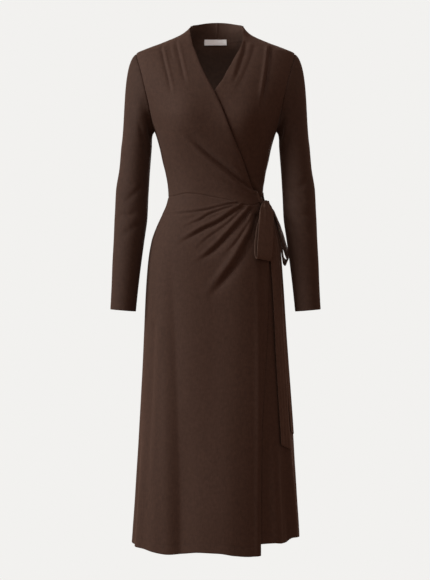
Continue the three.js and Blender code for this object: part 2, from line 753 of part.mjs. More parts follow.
function knot() {
  const out = normalOf(skin, KNOT.angle, KNOT.z);
  const up = new THREE.Vector3(0, 0, 1);
  const along = new THREE.Vector3().crossVectors(up, out).normalize();
  const geometry = new THREE.SphereGeometry(1, 16, 12);
  const [radiusOut, radiusAlong, radiusUp] = KNOT.radii;
  geometry.scale(radiusOut, radiusAlong, radiusUp);
  geometry.applyMatrix4(new THREE.Matrix4().makeBasis(out, along, out.clone().cross(along)));
  const centre = place(KNOT.angle, KNOT.z, KNOT.out);
  return geometry.translate(centre.x, centre.y, centre.z);
}

// A blank woven label on the inside of the back neck.
function label() {
  const inward = -(WALL / 2 + LABEL.gap + LABEL.thick / 2);
  const at = (u, v) => {
    const z = mix(LABEL.bottomZ, LABEL.topZ, v);
    const angle = 180 - angleOf(mix(LABEL.halfWidth, -LABEL.halfWidth, u), z);
    return [backCloth(angle, z).addScaledVector(normalOf(backCloth, angle, z), inward), null];
  };
  return wall(smoothNormals(addGrid(newSheet(), steps(8), steps(2), at)), LABEL.thick);
}

const jersey = () => new THREE.MeshStandardMaterial({ color: DRESS_COLOUR, roughness: 0.9 });
const woven = () => new THREE.MeshStandardMaterial({ color: LABEL_COLOUR, roughness: 0.8 });

const PIECES = {
  front_over: frontOver(),
  front_under: frontUnder(),
  bodice_back: bodiceBack(),
  skirt_over: skirtOver(),
  skirt_under: skirtUnder(),
  skirt_back: skirtBack(),
  sleeve_left: sleeve(1),
  sleeve_right: sleeve(-1),
  tie_side_strap: strap(SIDE_STRAP, SIDE_STRAP.from, 4),
  tie_front_stub: strap(FRONT_STUB, FRONT_STUB.to, 4),
  tie_knot: knot(),
  tie_loop_front: loop(FRONT_LOOP),
  tie_loop_side: loop(SIDE_LOOP),
  ...Object.fromEntries(TAILS.map((row) => [row.name, tail(row)])),
  neck_label: label(),
};

const dress = new THREE.Group();
for (const [name, geometry] of Object.entries(PIECES)) {
  const mesh = new THREE.Mesh(geometry, name === "neck_label" ? woven() : jersey());
  mesh.name = name;
  dress.add(mesh);
}

export default dress;
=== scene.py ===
# A long-sleeved jersey wrap dress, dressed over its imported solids. Sizes are in millimetres
# until a piece is made, and every piece follows the same tables as the solid it stands for.
import math

import bmesh
import bpy
import numpy as np
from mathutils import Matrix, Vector


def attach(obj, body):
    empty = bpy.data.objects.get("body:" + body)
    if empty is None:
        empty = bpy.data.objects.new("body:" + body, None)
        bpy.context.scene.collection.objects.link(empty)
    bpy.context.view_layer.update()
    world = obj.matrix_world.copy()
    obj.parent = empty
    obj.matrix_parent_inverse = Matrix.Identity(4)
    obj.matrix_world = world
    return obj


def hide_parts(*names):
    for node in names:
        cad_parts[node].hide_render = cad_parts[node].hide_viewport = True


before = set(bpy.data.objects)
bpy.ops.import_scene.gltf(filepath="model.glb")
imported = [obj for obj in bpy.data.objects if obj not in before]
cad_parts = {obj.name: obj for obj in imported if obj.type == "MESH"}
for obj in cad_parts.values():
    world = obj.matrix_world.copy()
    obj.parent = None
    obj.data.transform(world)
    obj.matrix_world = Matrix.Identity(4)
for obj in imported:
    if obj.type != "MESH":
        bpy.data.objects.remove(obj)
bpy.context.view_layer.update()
MM = 0.001

# Angles are in degrees round the figure: 0 in front, 90 at the viewer's right, 180 behind.

# Cloth, seams, hems and edges. A spread is the half width of a soft dip. A rim stands out by
# a share of the thickness. The seam's gap and angle keep panels apart. FAR is not sewn.
CLOTH = 1.3
TIE_THICK = 1.7
RIM_ROUND = 0.45
SEAM_GAP = 0.1
SEAM_ANGLE = 0.03
SEAM_DIP = 1.2
SEAM_SPREAD = 1.8
ALLOWANCE = 4
HEM_TURN = 20
HEM_DIP = 0.25
HEM_SPREAD = 1.5
CUFF_TURN = 18
FAR = 999.0
EDGE_ROLL = 0.5
ROLL_SPREAD = 2.2
ROLL_BACK = {"share": 0.4, "at": 7, "spread": 3}

# Levels and limits of the panels. The collar's top rises between the COLLAR_CORNER angles,
# and from the back it falls to the sides by shares and powers of a sine. The waist seam's dip
# fades out towards the two OVER_DIP_Z heights. A SQUARENESS of 2 is an ellipse.
WAIST_Z = -360
HIP_Z = -640
HEM_Z = -1170
NECK_POINT_Z = 21
BACK_NECK_Z = 18.6
COLLAR_FRONT_Z = 40
COLLAR_SIDE_Z = 43
COLLAR_BACK_Z = 65.2
COLLAR_CORNER = (62, 90)
COLLAR_ARC = ((0.68, 2), (0.32, 40))
ARMPIT_Z = -205
SHOULDER_TIP_Z = -22
NECK_CURVE_Z = -40
OVER_DIP_Z = (-255, -460)
HEM_DROP_Z = -900
FLUTE_FULL_Z = -1110
# The under skirt goes on under the over skirt to this angle, with this share of its cells.
UNDER_SKIRT_END = -52
HIDDEN_SHARE = 0.45
SQUARENESS = 2.3
CUP = {"x": 78, "z": -182, "out": 12, "half_width": 45, "half_height": 55}
NECK_MARGIN = 0.1
# Steps in degrees and millimetres from which the slope of a surface is taken
TURN_STEP, HEIGHT_STEP = 0.2, 0.5

# How far the over front stands off and the under front lies in: from and to this distance
# inside the over front's edge, and from and to these heights.
OVER_LIFT = 3.8
LIFT_INSIDE, LIFT_Z = (130, 60), (-30, -100)
UNDER_SINK = 9
SINK_INSIDE, SINK_Z = (-3.5, 7), (-60, -110)
BACK_FOLD_Z = (-40, -90)

# z, half width, depth in front, depth behind, centre
SECTIONS = [
    (-1190, 198.7, 154, 149, 0.5), (-1130, 195.1, 150, 146, 1.3), (-1074, 191.2, 146.5, 142.8, 1.4),
    (-1017, 187.7, 142, 139.5, 1.4), (-956, 183.7, 137, 136, 1.4), (-890, 179.6, 132.4, 132.3, 1.1),
    (-814, 174.6, 127, 128, 0.3), (-745, 170.0, 122, 124.5, -0.7), (-673, 165.9, 118, 121, -1.7),
    (-573, 160.9, 112, 118, -2.1), (-517, 156.7, 108, 117, -2.0), (-489, 153.6, 105, 115, -1.5),
    (-460, 148.2, 101, 111, -1), (-432, 138.7, 96, 103, -0.5), (-404, 126.6, 90, 92, 0),
    (-375, 114.5, 85, 80, 0), (-354, 110.5, 83, 75, 0), (-333, 112, 84, 76, 0),
    (-304, 117, 88, 79, 0), (-276, 124, 94.5, 84, 0), (-248, 130, 102.5, 89, 0),
    (-219, 138, 110, 94, 0), (-205, 143, 113, 97, 0), (-175, 158, 115.5, 100, 0),
    (-143, 172, 113, 101, 0), (-109, 187, 105, 99, 0), (-79, 192, 95, 94, 0),
    (-50, 191, 82, 86, 0), (-35, 190, 73, 79, 0), (-22, 186, 65, 73, 0), (-14, 169.5, 60, 69, 0),
    (-7, 151.5, 56, 66, 0), (0, 132.5, 52, 64, 0), (7, 115.5, 48, 63, 0), (14, 98.5, 46, 64, 0.4),
    (21, 84.5, 46, 66, 1), (28, 74.5, 48, 67, 2), (35, 67, 50, 67, 3), (43, 61.5, 51, 66, 3.8),
    (55, 60.5, 52, 65, 4.2), (68, 59, 52, 64, 4.6),
]
# z, distance from the centre plane
ARMHOLE = [
    (-205, 143), (-191, 146.5), (-169, 151), (-143, 156), (-118, 162), (-88, 169),
    (-56, 177.5), (-35, 184), (-22, 186),
]
OVER_EDGE = [
    (43, -55.5), (36, -59), (30, -59.6), (16, -58.7), (8, -57), (-10.5, -53.2), (-25, -47.8),
    (-38, -43.5), (-50, -39.2), (-63.5, -34.6), (-76.5, -29), (-98.5, -18.9), (-120, -7),
    (-131.8, -1.2), (-174, 18), (-230, 40), (-291, 68), (-334, 91), (-348, 99), (-360, 103),
]
UNDER_EDGE = [
    (43, 61), (36, 64), (24.5, 64.4), (-3, 63.2), (-16.5, 58.4), (-27, 53), (-39, 46.3),
    (-50, 40.7), (-62.5, 34.8), (-72.5, 29), (-97, 16.8), (-109, 8.4), (-122, -0.3),
    (-174, -22), (-230, -44), (-291, -66), (-360, -88),
]
SKIRT_EDGE = [
    (-360, 103), (-400, 111), (-440, 115), (-521, 120), (-601, 119), (-817, 110),
    (-895, 105), (-1175, 103),
]
# angle, z
OVER_WAIST = [
    (-90, -360), (-58, -359), (-33, -355), (-16, -358), (1, -366), (14, -373),
    (27, -382), (41, -383), (56, -378), (70, -372),
]
HEM_OVER = [
    (-90, HEM_Z), (-58, -1168), (-31, -1174.5), (-20, -1171.5), (-8, -1167), (1, -1168),
    (9, -1173), (20, -1176.5), (50, -1176.5),
]
HEM_UNDER = [(-52, -1152), (38, -1151), (48, -1154), (55, -1154), (62, -1147), (90, -1159)]
HEM_BACK = [(90, -1159), (180, -1168), (270, HEM_Z)]

# Folds drawn as (x, z) from end to end, as seen from the front, then depth, half width, and
# 1 or -1 for the side on which the cloth stands up.
OVER_FOLDS = [
    ([(-142, -402), (-108, -402), (-70, -400), (-35, -396), (-5, -390), (33, -381),
      (56, -379)], 3.0, 2.6, 1),
    ([(-98, -419), (-68, -415), (-45, -408)], 0.9, 4, 1),
    ([(-84, -438), (-53, -425), (-35, -417), (-18, -406), (16, -393), (54, -383)], 3.0, 3.2, 1),
    ([(-98, -480), (-67, -462), (-24, -437), (5, -424), (27, -409), (66, -384)], 5.2, 5.2, 1),
    ([(-52, -498), (-33, -473), (-13, -455), (16, -435), (39, -416), (70, -385)], 2.2, 3.4, 1),
    ([(-54, -522), (-18, -498), (5, -478), (24, -458), (45, -435), (86, -386)], 6.0, 5.8, 1),
    ([(-22, -606), (22, -550), (53, -507), (70, -475), (85, -446), (97, -396)], 8, 9, 1),
    ([(-40, -421), (0, -409), (36, -395), (66, -382)], 1.2, 3.2, 1),
    ([(12, -508), (46, -470), (70, -434), (90, -394)], 2.2, 4, 1),
    ([(-86, -206), (-52, -236), (-12, -271), (30, -305), (62, -331), (94, -350)], 6.8, 6.5, -1),
    ([(-24, -312), (20, -331), (60, -347), (100, -361)], 1.7, 5, -1),
    ([(36, -278), (60, -305), (84, -332), (101, -351)], 1.5, 5, -1),
    ([(-96, -150), (-107, -96), (-119, -48), (-127, -8)], 3.8, 4.2, -1),
    ([(-64, -122), (-76, -72), (-86, -26), (-93, 6)], 2.6, 4.2, -1),
    ([(-95, -58), (-103, -28), (-107, -3)], 1.3, 4, -1),
    ([(-104, -400), (-97, -600), (-90, -760), (-86, -900), (-83, -1040), (-80, -1250)], 4.6, 18, -1),
    ([(-158, -1100), (-154, -960), (-149, -860), (-145, -760), (-141, -640)], 3.0, 9, -1),
    ([(100, -430), (105, -560), (108, -700), (108, -860), (107, -1020), (106, -1250)], 3.6, 8, -1),
]
UNDER_FOLDS = [
    ([(104, -176), (114, -110), (122, -58), (128, -8)], 5.8, 5.2, 1),
    ([(38, -142), (60, -98), (80, -48), (92, -6)], 1.8, 8, 1),
    ([(34, -120), (47, -92), (58, -57), (67, -26), (70, 4)], 3.4, 6.5, 1),
    ([(104, -196), (102, -240), (98, -290), (92, -330)], 2.4, 9, 1),
    ([(108, -300), (104, -330), (96, -354)], 1.4, 6, 1),
    ([(146, -900), (150, -1000), (153, -1100), (154, -1250)], 2.4, 7, 1),
    ([(174, -900), (182, -1000), (189, -1100), (195, -1250)], 2.2, 6, -1),
]
BACK_FOLDS = [
    ([(-64, -258), (-60, -300), (-52, -335), (-46, -366)], 2.6, 7, 1),
    ([(-18, -296), (-21, -330), (-24, -366)], 1.6, 6, 1),
    ([(40, -246), (47, -296), (53, -335), (57, -366)], 2.8, 8, -1),
    ([(76, -292), (80, -330), (80, -366)], 1.8, 6, -1),
    ([(-66, -458), (-58, -420), (-52, -385), (-48, -356)], 2.6, 7, 1),
    ([(-8, -428), (-12, -400), (-14, -356)], 1.5, 6, 1),
    ([(32, -476), (42, -420), (49, -356)], 2.8, 8, -1),
    ([(88, -446), (88, -400), (85, -356)], 1.9, 7, -1),
    ([(-48, -520), (-54, -700), (-60, -860), (-66, -1020), (-72, -1260)], 4.2, 16, 1),
    ([(60, -580), (66, -740), (74, -920), (82, -1080), (86, -1260)], 4.6, 17, 1),
]
# The section of a fold across its width, and how it fades in and out along its length
FOLD = {
    "ridge_side": 0.7, "other_side": 1.2, "power": 1.5, "fade_in": (0, 0.4), "fade_out": (1, 0.94),
    "ridge": 0.55, "ridge_at": 1.5, "ridge_width": 0.8,
}
# angle, out, half width, height where it starts
FLUTES = [
    (-76, -5, 6, -800), (-62, 7, 7, -820), (-44, 4, 9, -700), (-19, -7, 11, -720),
    (4, 4, 12, -700), (31, -4, 8, -760), (44, 5, 7, -760), (56, -7, 6, -820),
    (66, 6, 6, -840), (78, -3, 4.5, -860),
    (112, 6, 9, -560), (131, -6, 9, -620), (152, 7, 10, -560), (174, -6, 10, -600),
    (197, 6, 10, -560), (219, -7, 10, -620), (243, 6, 9, -560),
]
# z, x, y, half width, half depth
SLEEVE = [
    (-240, 186, -1, 35.4, 47), (-290, 190, -2, 35.6, 45), (-347, 196, -4, 38, 43.5),
    (-404, 198.5, -8, 38, 42), (-460, 203, -14, 35.4, 39), (-517, 208, -20, 33, 36),
    (-573, 212, -26, 30.6, 33), (-625, 215.7, -31, 29.2, 31),
]
CUFF_TILT = 2.5
CUFF_Z = -600
SLEEVE_GAP = 0.1
# How the cap leaves the armhole and arrives at the arm, at the armpit and at the shoulder tip.
CAP_LEAVE = ((28, 0, -8), (100, 0, -60))
CAP_ARRIVE = ((2, -1, -30), (32, -1, -200))
CAP_SWING = 18
ARM_PER_DEGREE = 0.62
SLEEVE_FADES = ((0, 0.3), (1, 0.7))
# Creases of a sleeve as (turn in degrees, z) from end to end, then depth and half width.
SLEEVE_FOLDS = [
    ([(62, -150), (40, -190), (18, -235)], 4.0, 7),
    ([(95, -175), (60, -225), (25, -275)], 2.6, 7),
    ([(130, -120), (110, -170), (96, -230)], 1.6, 9),
    ([(150, -300), (110, -330), (70, -345)], 2.0, 8),
    ([(40, -330), (75, -352), (118, -380)], 2.2, 7),
    ([(60, -390), (95, -405), (140, -402)], 1.8, 7),
    ([(30, -420), (80, -436), (128, -462)], 1.5, 8),
    ([(330, -160), (310, -200), (300, -250)], 3.2, 8),
    ([(300, -330), (270, -352), (230, -362)], 2.4, 7),
    ([(320, -372), (280, -392), (235, -394)], 2.0, 8),
    ([(290, -425), (255, -440), (215, -470)], 1.6, 9),
]
# angle, z, out, width, tilt, rise from the front edge to the back edge
FRONT_LOOP = [
    (64.5, -375.5, 15.1, 14, 8, 0), (62.1, -380.5, 16.2, 18.5, 12, 0),
    (59.5, -386, 17.4, 21.5, 16, 0), (56.6, -394, 18.8, 26.5, 14, 0),
    (53.8, -405, 19, 32, 10, 0), (50.6, -421, 18, 35, 4, -1), (46.7, -440, 17.5, 35.4, 0, -2),
    (42, -475, 17.5, 35, 0, -4), (40.4, -498, 17, 34, 0, -5), (40.1, -506.5, 15, 33.5, 0, -5),
    (39.9, -509.5, 12.5, 32, 0, -5), (39.6, -506.5, 9.6, 33.5, 0, -5),
    (39.4, -497, 8.4, 35, 0, -5), (40.6, -475, 8, 35, 0, -4), (46, -440, 8.2, 34, 0, -2),
    (51.4, -421, 8.6, 31, 0, -1), (55.5, -408, 9, 27, 0, 0), (59.5, -399, 9.6, 20, 4, 0),
    (61.7, -394, 10, 11, 6, 0),
]
SIDE_LOOP = [
    (77.6, -389, 11.6, 10, 0, 0), (79.6, -398, 13.4, 15, 0, 0), (82, -411, 14, 22, 1, 0),
    (83.4, -430, 13.4, 28, 8, 0), (84, -443, 12.6, 30, 10, 0), (84.6, -458, 12.6, 31, 12, 1),
    (86.6, -475, 13.2, 31, 15, 4), (89.6, -493, 16, 28, 20, 9), (90.8, -502, 18.6, 26, 20, 12),
    (91.1, -509, 16.6, 26, 19, 13), (91.2, -514, 12.4, 26, 16, 14), (91, -510, 8.2, 26, 12, 13),
    (90.2, -502, 6.4, 26, 8, 12), (88.4, -493, 6.2, 27, 8, 9), (85.6, -478, 6.8, 30, 9, 4),
    (83.8, -464, 7.2, 31, 10, 1), (82.6, -448, 7.4, 31, 10, 0), (82, -430, 7.8, 29, 10, 0),
    (81.8, -414, 9.2, 22, 8, 0), (81, -402, 9.8, 15, 6, 0), (80, -396, 9.4, 10, 0, 0),
]
# top angle, angle, low angle, out at the top, out, end z, slant
TAIL_FRONT = (71, 60, 58, 5.4, 4.7, -939, -14)
TAIL_SIDE = (73, 73.5, 77, 2.3, 2.2, -911, -8)
# The ends widen, turn, lie down and swing between these heights, and wave a little.
TIE_WIDTH = 34
TAIL_TOP_Z = -393
TAIL_TOP_WIDTH = 10
TAIL_RISE, TAIL_RISE_END_Z = 3.6, -400
TAIL_CROWDING = 1.25
TAIL_TURNED_Z, TAIL_WIDE_Z, TAIL_LAID_Z = -455, -450, (-450, -520)
TAIL_SWING_Z = -600
TAIL_SLANT_FROM = 0.8
TAIL_WAVE = {"out": 0.7, "length": 61, "slant": 30, "fade": (-430, -600)}
TAIL_PLEATS = {"low": 0.5, "more": 0.3, "fade": (-560, -400)}
LOOP_PLEAT_Z = (-455, -385)
LOOP_EDGE = {"dip": 0.5, "spread": 1.6}
# Folds across a gathered band: height, radians for each millimetre, shift
PLEATS = ((0.9, 0.62, 0.7), (0.5, 1.15, 2.1))
KNOT = {"angle": 70.5, "z": -382, "out": 9.7, "radii": (6, 10, 10), "inside": 0.3, "round": 0.7}
KNOT_FOLDS = {"height": 0.09, "waves": 7, "twist": 0.6, "fine": 0.05, "fine_waves": 15}
STRAP_SEAT, STRAP_SEAT_UNTIL = 1.5, 0.3
STRAP_SLOPE = 0.35
STRAP_PLEATS = {"share": 0.5, "height": 26, "fade": (0, 0.8)}
SIDE_STRAP = {"from": 76.8, "to": 89.5, "knotted": "from", "half": 12, "end": 7, "out": 2.2}
FRONT_STUB = {"from": 53.2, "to": 64.2, "knotted": "to", "half": 12, "end": 8, "out": 5.9}
LABEL = {"half": 27, "top": 24.5, "bottom": 10.5, "thick": 0.6, "gap": 2.2}

# Cells of each grid, and how much they crowd towards its ends
CELLS = {
    "front_over": (92, 0.25), "front_under": (88, 0.25), "bodice_back": (124, 0.2),
    "skirt_over": (120, 0.2), "skirt_under": (112, 0.2), "skirt_back": (180, 0.1),
    "collar": (70, 0.3), "collar_rows": (12,), "sleeve": (96,), "cap": (44,), "band": (16,),
    "tail": (190,), "strap": (26,), "label": (40,), "label_rows": (12,),
}
LOOP_CELLS = 7
CROWDED_STEP = 1.9
KNOT_CELLS = (64, 40)

# Yarn colours, and the jersey's grain in millimetres of the flat cut
DARK_YARN = np.array((0.0290, 0.0140, 0.0086))
LIGHT_YARN = np.array((0.0535, 0.0274, 0.0178))
# The sleeves' copy of the jersey is darker than the rest: painted shade, for the sleeves lying more
# in shade.
SLEEVE_PAINTED_SHADE = 0.84
# The tie's copy of the same jersey is lighter and greyer: painted light, for the bands catching more
# light.
TIE_PAINTED_LIGHT = np.array((1.36, 1.50, 1.60))
THREAD = (0.020, 0.012, 0.009)
WALE = 0.8
COURSE = 0.6
COURSE_SWAY = 0.9
STREAKS = {"across": 1.6, "along": 0.09, "scale": 0.5, "detail": 3}
FLECKS = {"across": 1.1, "along": 0.7, "scale": 0.9, "detail": 2}
WEAR = {"scale": 130.0, "detail": 4}
# Weights of streaks, flecks, wear and wales in the tone
TONE = (0.45, 0.35, 0.50, 0.03)
YARN_SPAN = ((0.42, 0.0), (0.88, 1.0))
# Weights of wales, courses, flecks and thread in the height
HEIGHT = (0.5, 0.3, 1.2, 2.0)
NEEDLES = {"row": 1.6, "half": 0.45, "length": 3.2, "dash": -0.45, "strength": 0.35}
ROUGH = {"flecks": 0.12, "least": 0.76}

# The label's satin and its stitches
SATIN = {
    "colours": ((0.80, 0.86, 0.89, 1), (0.88, 0.94, 0.97, 1)), "rib": 0.5, "warp": 0.35,
    "weave": (0.6, 0.4), "cloud": (140.0, 3), "tone": (0.5, 0.08), "height": (0.5, -1.5),
}
LABEL_STITCH = {
    "colour": (0.45, 0.42, 0.38, 1), "inside": 1.6, "half": 0.4, "length": 2.0, "dash": -0.3,
    "strength": 0.5,
}

# Sizes of the studio, in metres
EYE = (-0.00118, -3.0, -0.578)
LENS = 78.90
AMBIENT = 0.34
AMBIENT_TINT = (1.03, 0.63, 0.48)
FLOOR_Z = -1.78
FLOOR_REACH = 2.2
PAPER = (0.888, 0.880, 0.863)
PAPER_GLOW = 0.90
PAPER_GRAIN = {"scale": 60.0, "detail": 2, "more": 0.02, "least": 0.99}
FLOOR_MATT = (0.10, 0.10, 0.10, 1)
SENSOR_MM = 36
CLIP_END = 50
# name, place, what it looks at, size, watts
LAMPS = [
    ("key", (-3.3, -1.4, 0.8), (0, 0, -0.5), (1.4, 2.2), 143),
    ("front", (-0.6, -3.4, 0.8), (0, 0, -0.5), (2.0, 2.0), 12),
    ("top", (-0.2, -0.9, 1.7), (0, 0, -0.1), (0.8, 0.8), 7),
    ("behind", (0.5, 3.4, 0.8), (0, 0, -0.5), (2.0, 2.0), 70),
    ("inside", (-0.05, -0.02, -0.22), (0.05, 0.08, 0), (0.05, 0.05), 0.10),
]


# Small maths
def mix(a, b, t):
    return a + (b - a) * t


def ramp(a, b, x):
    t = np.clip((x - a) / (b - a), 0, 1)
    return t * t * (3 - 2 * t)


def bell(x, half_width):
    return np.exp(-((x / half_width) ** 2))


def curve(rows, column=1):
    rows = sorted(rows)
    xs = np.array([r[0] for r in rows], float)
    ys = np.array([r[column] for r in rows], float)
    rise = np.diff(ys) / np.diff(xs)
    slope = np.empty_like(ys)
    slope[0], slope[-1] = rise[0], rise[-1]
    a, b = rise[:-1], rise[1:]
    safe = np.where(a + b == 0, 1, a + b)
    slope[1:-1] = np.where(a * b <= 0, 0, 2 * a * b / safe)

    def at(x):
        x = np.clip(x, xs[0], xs[-1])
        i = np.clip(np.searchsorted(xs, x) - 1, 0, len(xs) - 2)
        step = xs[i + 1] - xs[i]
        t = (x - xs[i]) / step
        return (
            ys[i] * (1 + 2 * t) * (1 - t) ** 2
            + slope[i] * step * t * (1 - t) ** 2
            + ys[i + 1] * t * t * (3 - 2 * t)
            + slope[i + 1] * step * t * t * (t - 1)
        )

    return at


half_at, front_at, back_at, centre_at = (curve(SECTIONS, k) for k in (1, 2, 3, 4))
armhole_at, over_edge_at, under_edge_at = map(curve, (ARMHOLE, OVER_EDGE, UNDER_EDGE))
skirt_edge_at, over_waist_at = curve(SKIRT_EDGE), curve(OVER_WAIST)
hem_over_at, hem_under_at, hem_back_at = map(curve, (HEM_OVER, HEM_UNDER, HEM_BACK))
ring_at = [curve(SLEEVE, k) for k in (1, 2, 3, 4)]


# The figure
def skin(angle, z):
    angle, z = np.broadcast_arrays(angle, z)
    s, c = np.sin(np.radians(angle)), np.cos(np.radians(angle))
    power = 2 / SQUARENESS
    x = half_at(z) * np.sign(s) * np.abs(s) ** power
    depth = np.where(c >= 0, front_at(z), back_at(z))
    y = -depth * np.sign(c) * np.abs(c) ** power
    cups = bell(x - CUP["x"], CUP["half_width"]) + bell(x + CUP["x"], CUP["half_width"])
    y = y - CUP["out"] * cups * bell(z - CUP["z"], CUP["half_height"]) * ramp(0, 0.4, c)
    return np.stack([x + centre_at(z), y, z + 0 * x], -1)


def angle_of(x, z):
    away = x - centre_at(z)
    share = np.minimum(1, np.abs(away) / half_at(z))
    return np.sign(away) * np.degrees(np.arcsin(share ** (SQUARENESS / 2)))


def side_angle(z):
    z = np.asarray(z, float)
    beside = (z <= ARMPIT_Z) | (z >= SHOULDER_TIP_Z)
    return np.where(beside, 90.0, angle_of(armhole_at(z), z))


def unit(v):
    return v / (np.linalg.norm(v, axis=-1, keepdims=True) + 1e-12)


def normal_of(surface, angle, z):
    across = surface(angle + TURN_STEP, z) - surface(angle - TURN_STEP, z)
    up = surface(angle, z + HEIGHT_STEP) - surface(angle, z - HEIGHT_STEP)
    return unit(np.cross(across, up))


def bend_line(points, steps=18):
    """A smooth line through a few points, with even steps along it."""
    p = np.array(points, float)
    along = np.concatenate([[0], np.cumsum(np.linalg.norm(np.diff(p, axis=0), axis=1))])
    t = np.linspace(0, along[-1], steps)
    return np.stack([curve(list(zip(along, p[:, k])))(t) for k in (0, 1)], -1)


def off_line(line, x, z):
    best = np.full(x.shape, np.inf)
    along, side = np.zeros(x.shape), np.ones(x.shape)
    for i in range(len(line) - 1):
        (ax, az), (bx, bz) = line[i], line[i + 1]
        dx, dz = bx - ax, bz - az
        t = np.clip(((x - ax) * dx + (z - az) * dz) / (dx * dx + dz * dz), 0, 1)
        px, pz = x - ax - t * dx, z - az - t * dz
        distance = np.hypot(px, pz)
        near = distance < best
        best = np.where(near, distance, best)
        along = np.where(near, (i + t) / (len(line) - 1), along)
        side = np.where(near, np.sign(dx * pz - dz * px), side)
    return best, along, side


def fold_relief(folds, x, z):
    out = np.zeros(x.shape)
    for points, depth, width, ridge_side in folds:
        distance, along, side = off_line(bend_line(points), x, z)
        off = -side * ridge_side * distance / width
        reach = np.where(off < 0, FOLD["ridge_side"], FOLD["other_side"])
        trough = -depth * np.exp(-(np.abs(off) / reach) ** FOLD["power"])
        ridge = FOLD["ridge"] * depth * bell(off + FOLD["ridge_at"], FOLD["ridge_width"])
        out += (trough + ridge) * ramp(*FOLD["fade_in"], along) * ramp(*FOLD["fade_out"], along)
    return out


def flute_relief(angle, z):
    round_angle = np.mod(angle, 360)
    out = np.zeros(np.broadcast(angle, z).shape)
    for at, height, width, top in FLUTES:
        away = np.mod(round_angle - at + 540, 360) - 180
        out += height * bell(away, width) * ramp(top, FLUTE_FULL_Z, z)
    return out


def over_edge(z):
    return np.where(z > WAIST_Z, over_edge_at(z), skirt_edge_at(z))


def over_lift(x, z):
    return OVER_LIFT * ramp(*LIFT_INSIDE, over_edge(z) - x) * ramp(*LIFT_Z, z)


def under_sink(x, z):
    return -UNDER_SINK * ramp(*SINK_INSIDE, over_edge(z) - x) * ramp(*SINK_Z, z)


def draped(lift):
    def surface(angle, z):
        place = skin(angle, z)
        out = lift(angle, place[..., 0], z)
        return place + normal_of(skin, angle, z) * out[..., None]

    return surface


def front_cloth(lift):
    return draped(lambda angle, x, z: np.where(np.abs(angle) > 90, 0, lift(angle, x, z)))


over_cloth = front_cloth(
    lambda angle, x, z: over_lift(x, z) + fold_relief(OVER_FOLDS, x, z) + flute_relief(angle, z)
)
under_cloth = front_cloth(
    lambda angle, x, z: fold_relief(UNDER_FOLDS, x, z) + flute_relief(angle, z) + under_sink(x, z)
)
back_cloth = draped(
    lambda angle, x, z: fold_relief(BACK_FOLDS, x, z) * ramp(*BACK_FOLD_Z, z)
    + flute_relief(angle, z)
)


# Making a piece
def make(name, grids, material, thick=CLOTH):
    """A closed thin shell from grids of (points, uv, stitch). The rim is rounded."""
    points, uvs, stitches = (
        np.concatenate([g[k].reshape(-1, *g[k].shape[2:]) for g in grids]) for k in range(3)
    )
    faces, start = [], 0
    for g in grids:
        rows, columns = g[0].shape[:2]
        ids = start + np.arange(rows * columns).reshape(rows, columns)
        quads = np.stack([ids[:-1, :-1], ids[:-1, 1:], ids[1:, 1:], ids[1:, :-1]], -1)
        faces.append(quads.reshape(-1, 4))
        start += rows * columns
    faces = np.concatenate(faces)
    _, first, merged = np.unique(
        np.round(points, 2) + 0.0, axis=0, return_index=True, return_inverse=True
    )
    merged = merged.reshape(-1)
    points, quads, corner_uv = points[first], merged[faces], uvs[faces]
    stitches = stitches[first]
    whole = np.array([len(set(q)) == 4 for q in quads.tolist()])
    quads, corner_uv = quads[whole], corner_uv[whole]
    a, b, c, d = (points[quads[:, k]] for k in range(4))
    turn = np.cross(c - a, d - b)
    normal = np.zeros_like(points)
    for k in range(4):
        np.add.at(normal, quads[:, k], turn)
    normal = unit(normal)
    count = len(points)
    edges = np.concatenate([quads[:, [k, (k + 1) % 4]] for k in range(4)])
    key = edges.min(1) * count + edges.max(1)
    values, counts = np.unique(key, return_counts=True)
    rim = edges[np.isin(key, values[counts == 1])]
    outward = np.zeros_like(points)
    for k in (0, 1):
        along = points[rim[:, 1]] - points[rim[:, 0]]
        np.add.at(outward, rim[:, k], unit(np.cross(along, normal[rim[:, k]])))
    outward = unit(outward)
    rim_ids = np.unique(rim)
    middle = np.full(count, -1)
    middle[rim_ids] = 2 * count + np.arange(len(rim_ids))
    shell = np.concatenate([
        points + normal * thick / 2,
        points - normal * thick / 2,
        points[rim_ids] + outward[rim_ids] * thick * RIM_ROUND,
    ])
    f, t = rim[:, 0], rim[:, 1]
    rim_quads = np.concatenate([
        np.stack([f, middle[f], middle[t], t], -1),
        np.stack([middle[f], f + count, t + count, middle[t]], -1),
    ])
    all_quads = np.concatenate([quads, quads[:, ::-1] + count, rim_quads])
    a, b, c, d = (shell[all_quads[:, k]] for k in range(4))
    inside_out = np.sum(np.cross(c - a, d - b) * (a + b + c + d)) < 0
    vertex_uv = np.zeros((count, 2))
    vertex_uv[quads.reshape(-1)] = corner_uv.reshape(-1, 2)
    rim_uv = vertex_uv[np.stack([f, f, t, t], -1)]
    all_uv = np.concatenate([corner_uv, corner_uv[:, ::-1], rim_uv, rim_uv])
    if inside_out:
        all_quads, all_uv = all_quads[:, ::-1], all_uv[:, ::-1]
    mesh = bpy.data.meshes.new(name)
    mesh.vertices.add(len(shell))
    mesh.vertices.foreach_set("co", (shell * MM).astype(np.float32).ravel())
    mesh.loops.add(all_quads.size)
    mesh.loops.foreach_set("vertex_index", all_quads.astype(np.int32).ravel())
    mesh.polygons.add(len(all_quads))
    mesh.polygons.foreach_set("loop_start", np.arange(0, all_quads.size, 4, dtype=np.int32))
    mesh.polygons.foreach_set("use_smooth", np.ones(len(all_quads), bool))
    layer = mesh.uv_layers.new(name="cut")
    layer.data.foreach_set("uv", (all_uv * MM).astype(np.float32).ravel())
    values = np.concatenate([stitches, stitches, stitches[rim_ids]])
    note_stitches(mesh, values)
    mesh.update(calc_edges=True)
    mesh.validate()
    return add(name, mesh, material)


def note_stitches(mesh, values):
    stitch = mesh.attributes.new("stitch", "FLOAT", "POINT")
    stitch.data.foreach_set("value", values.astype(np.float32))


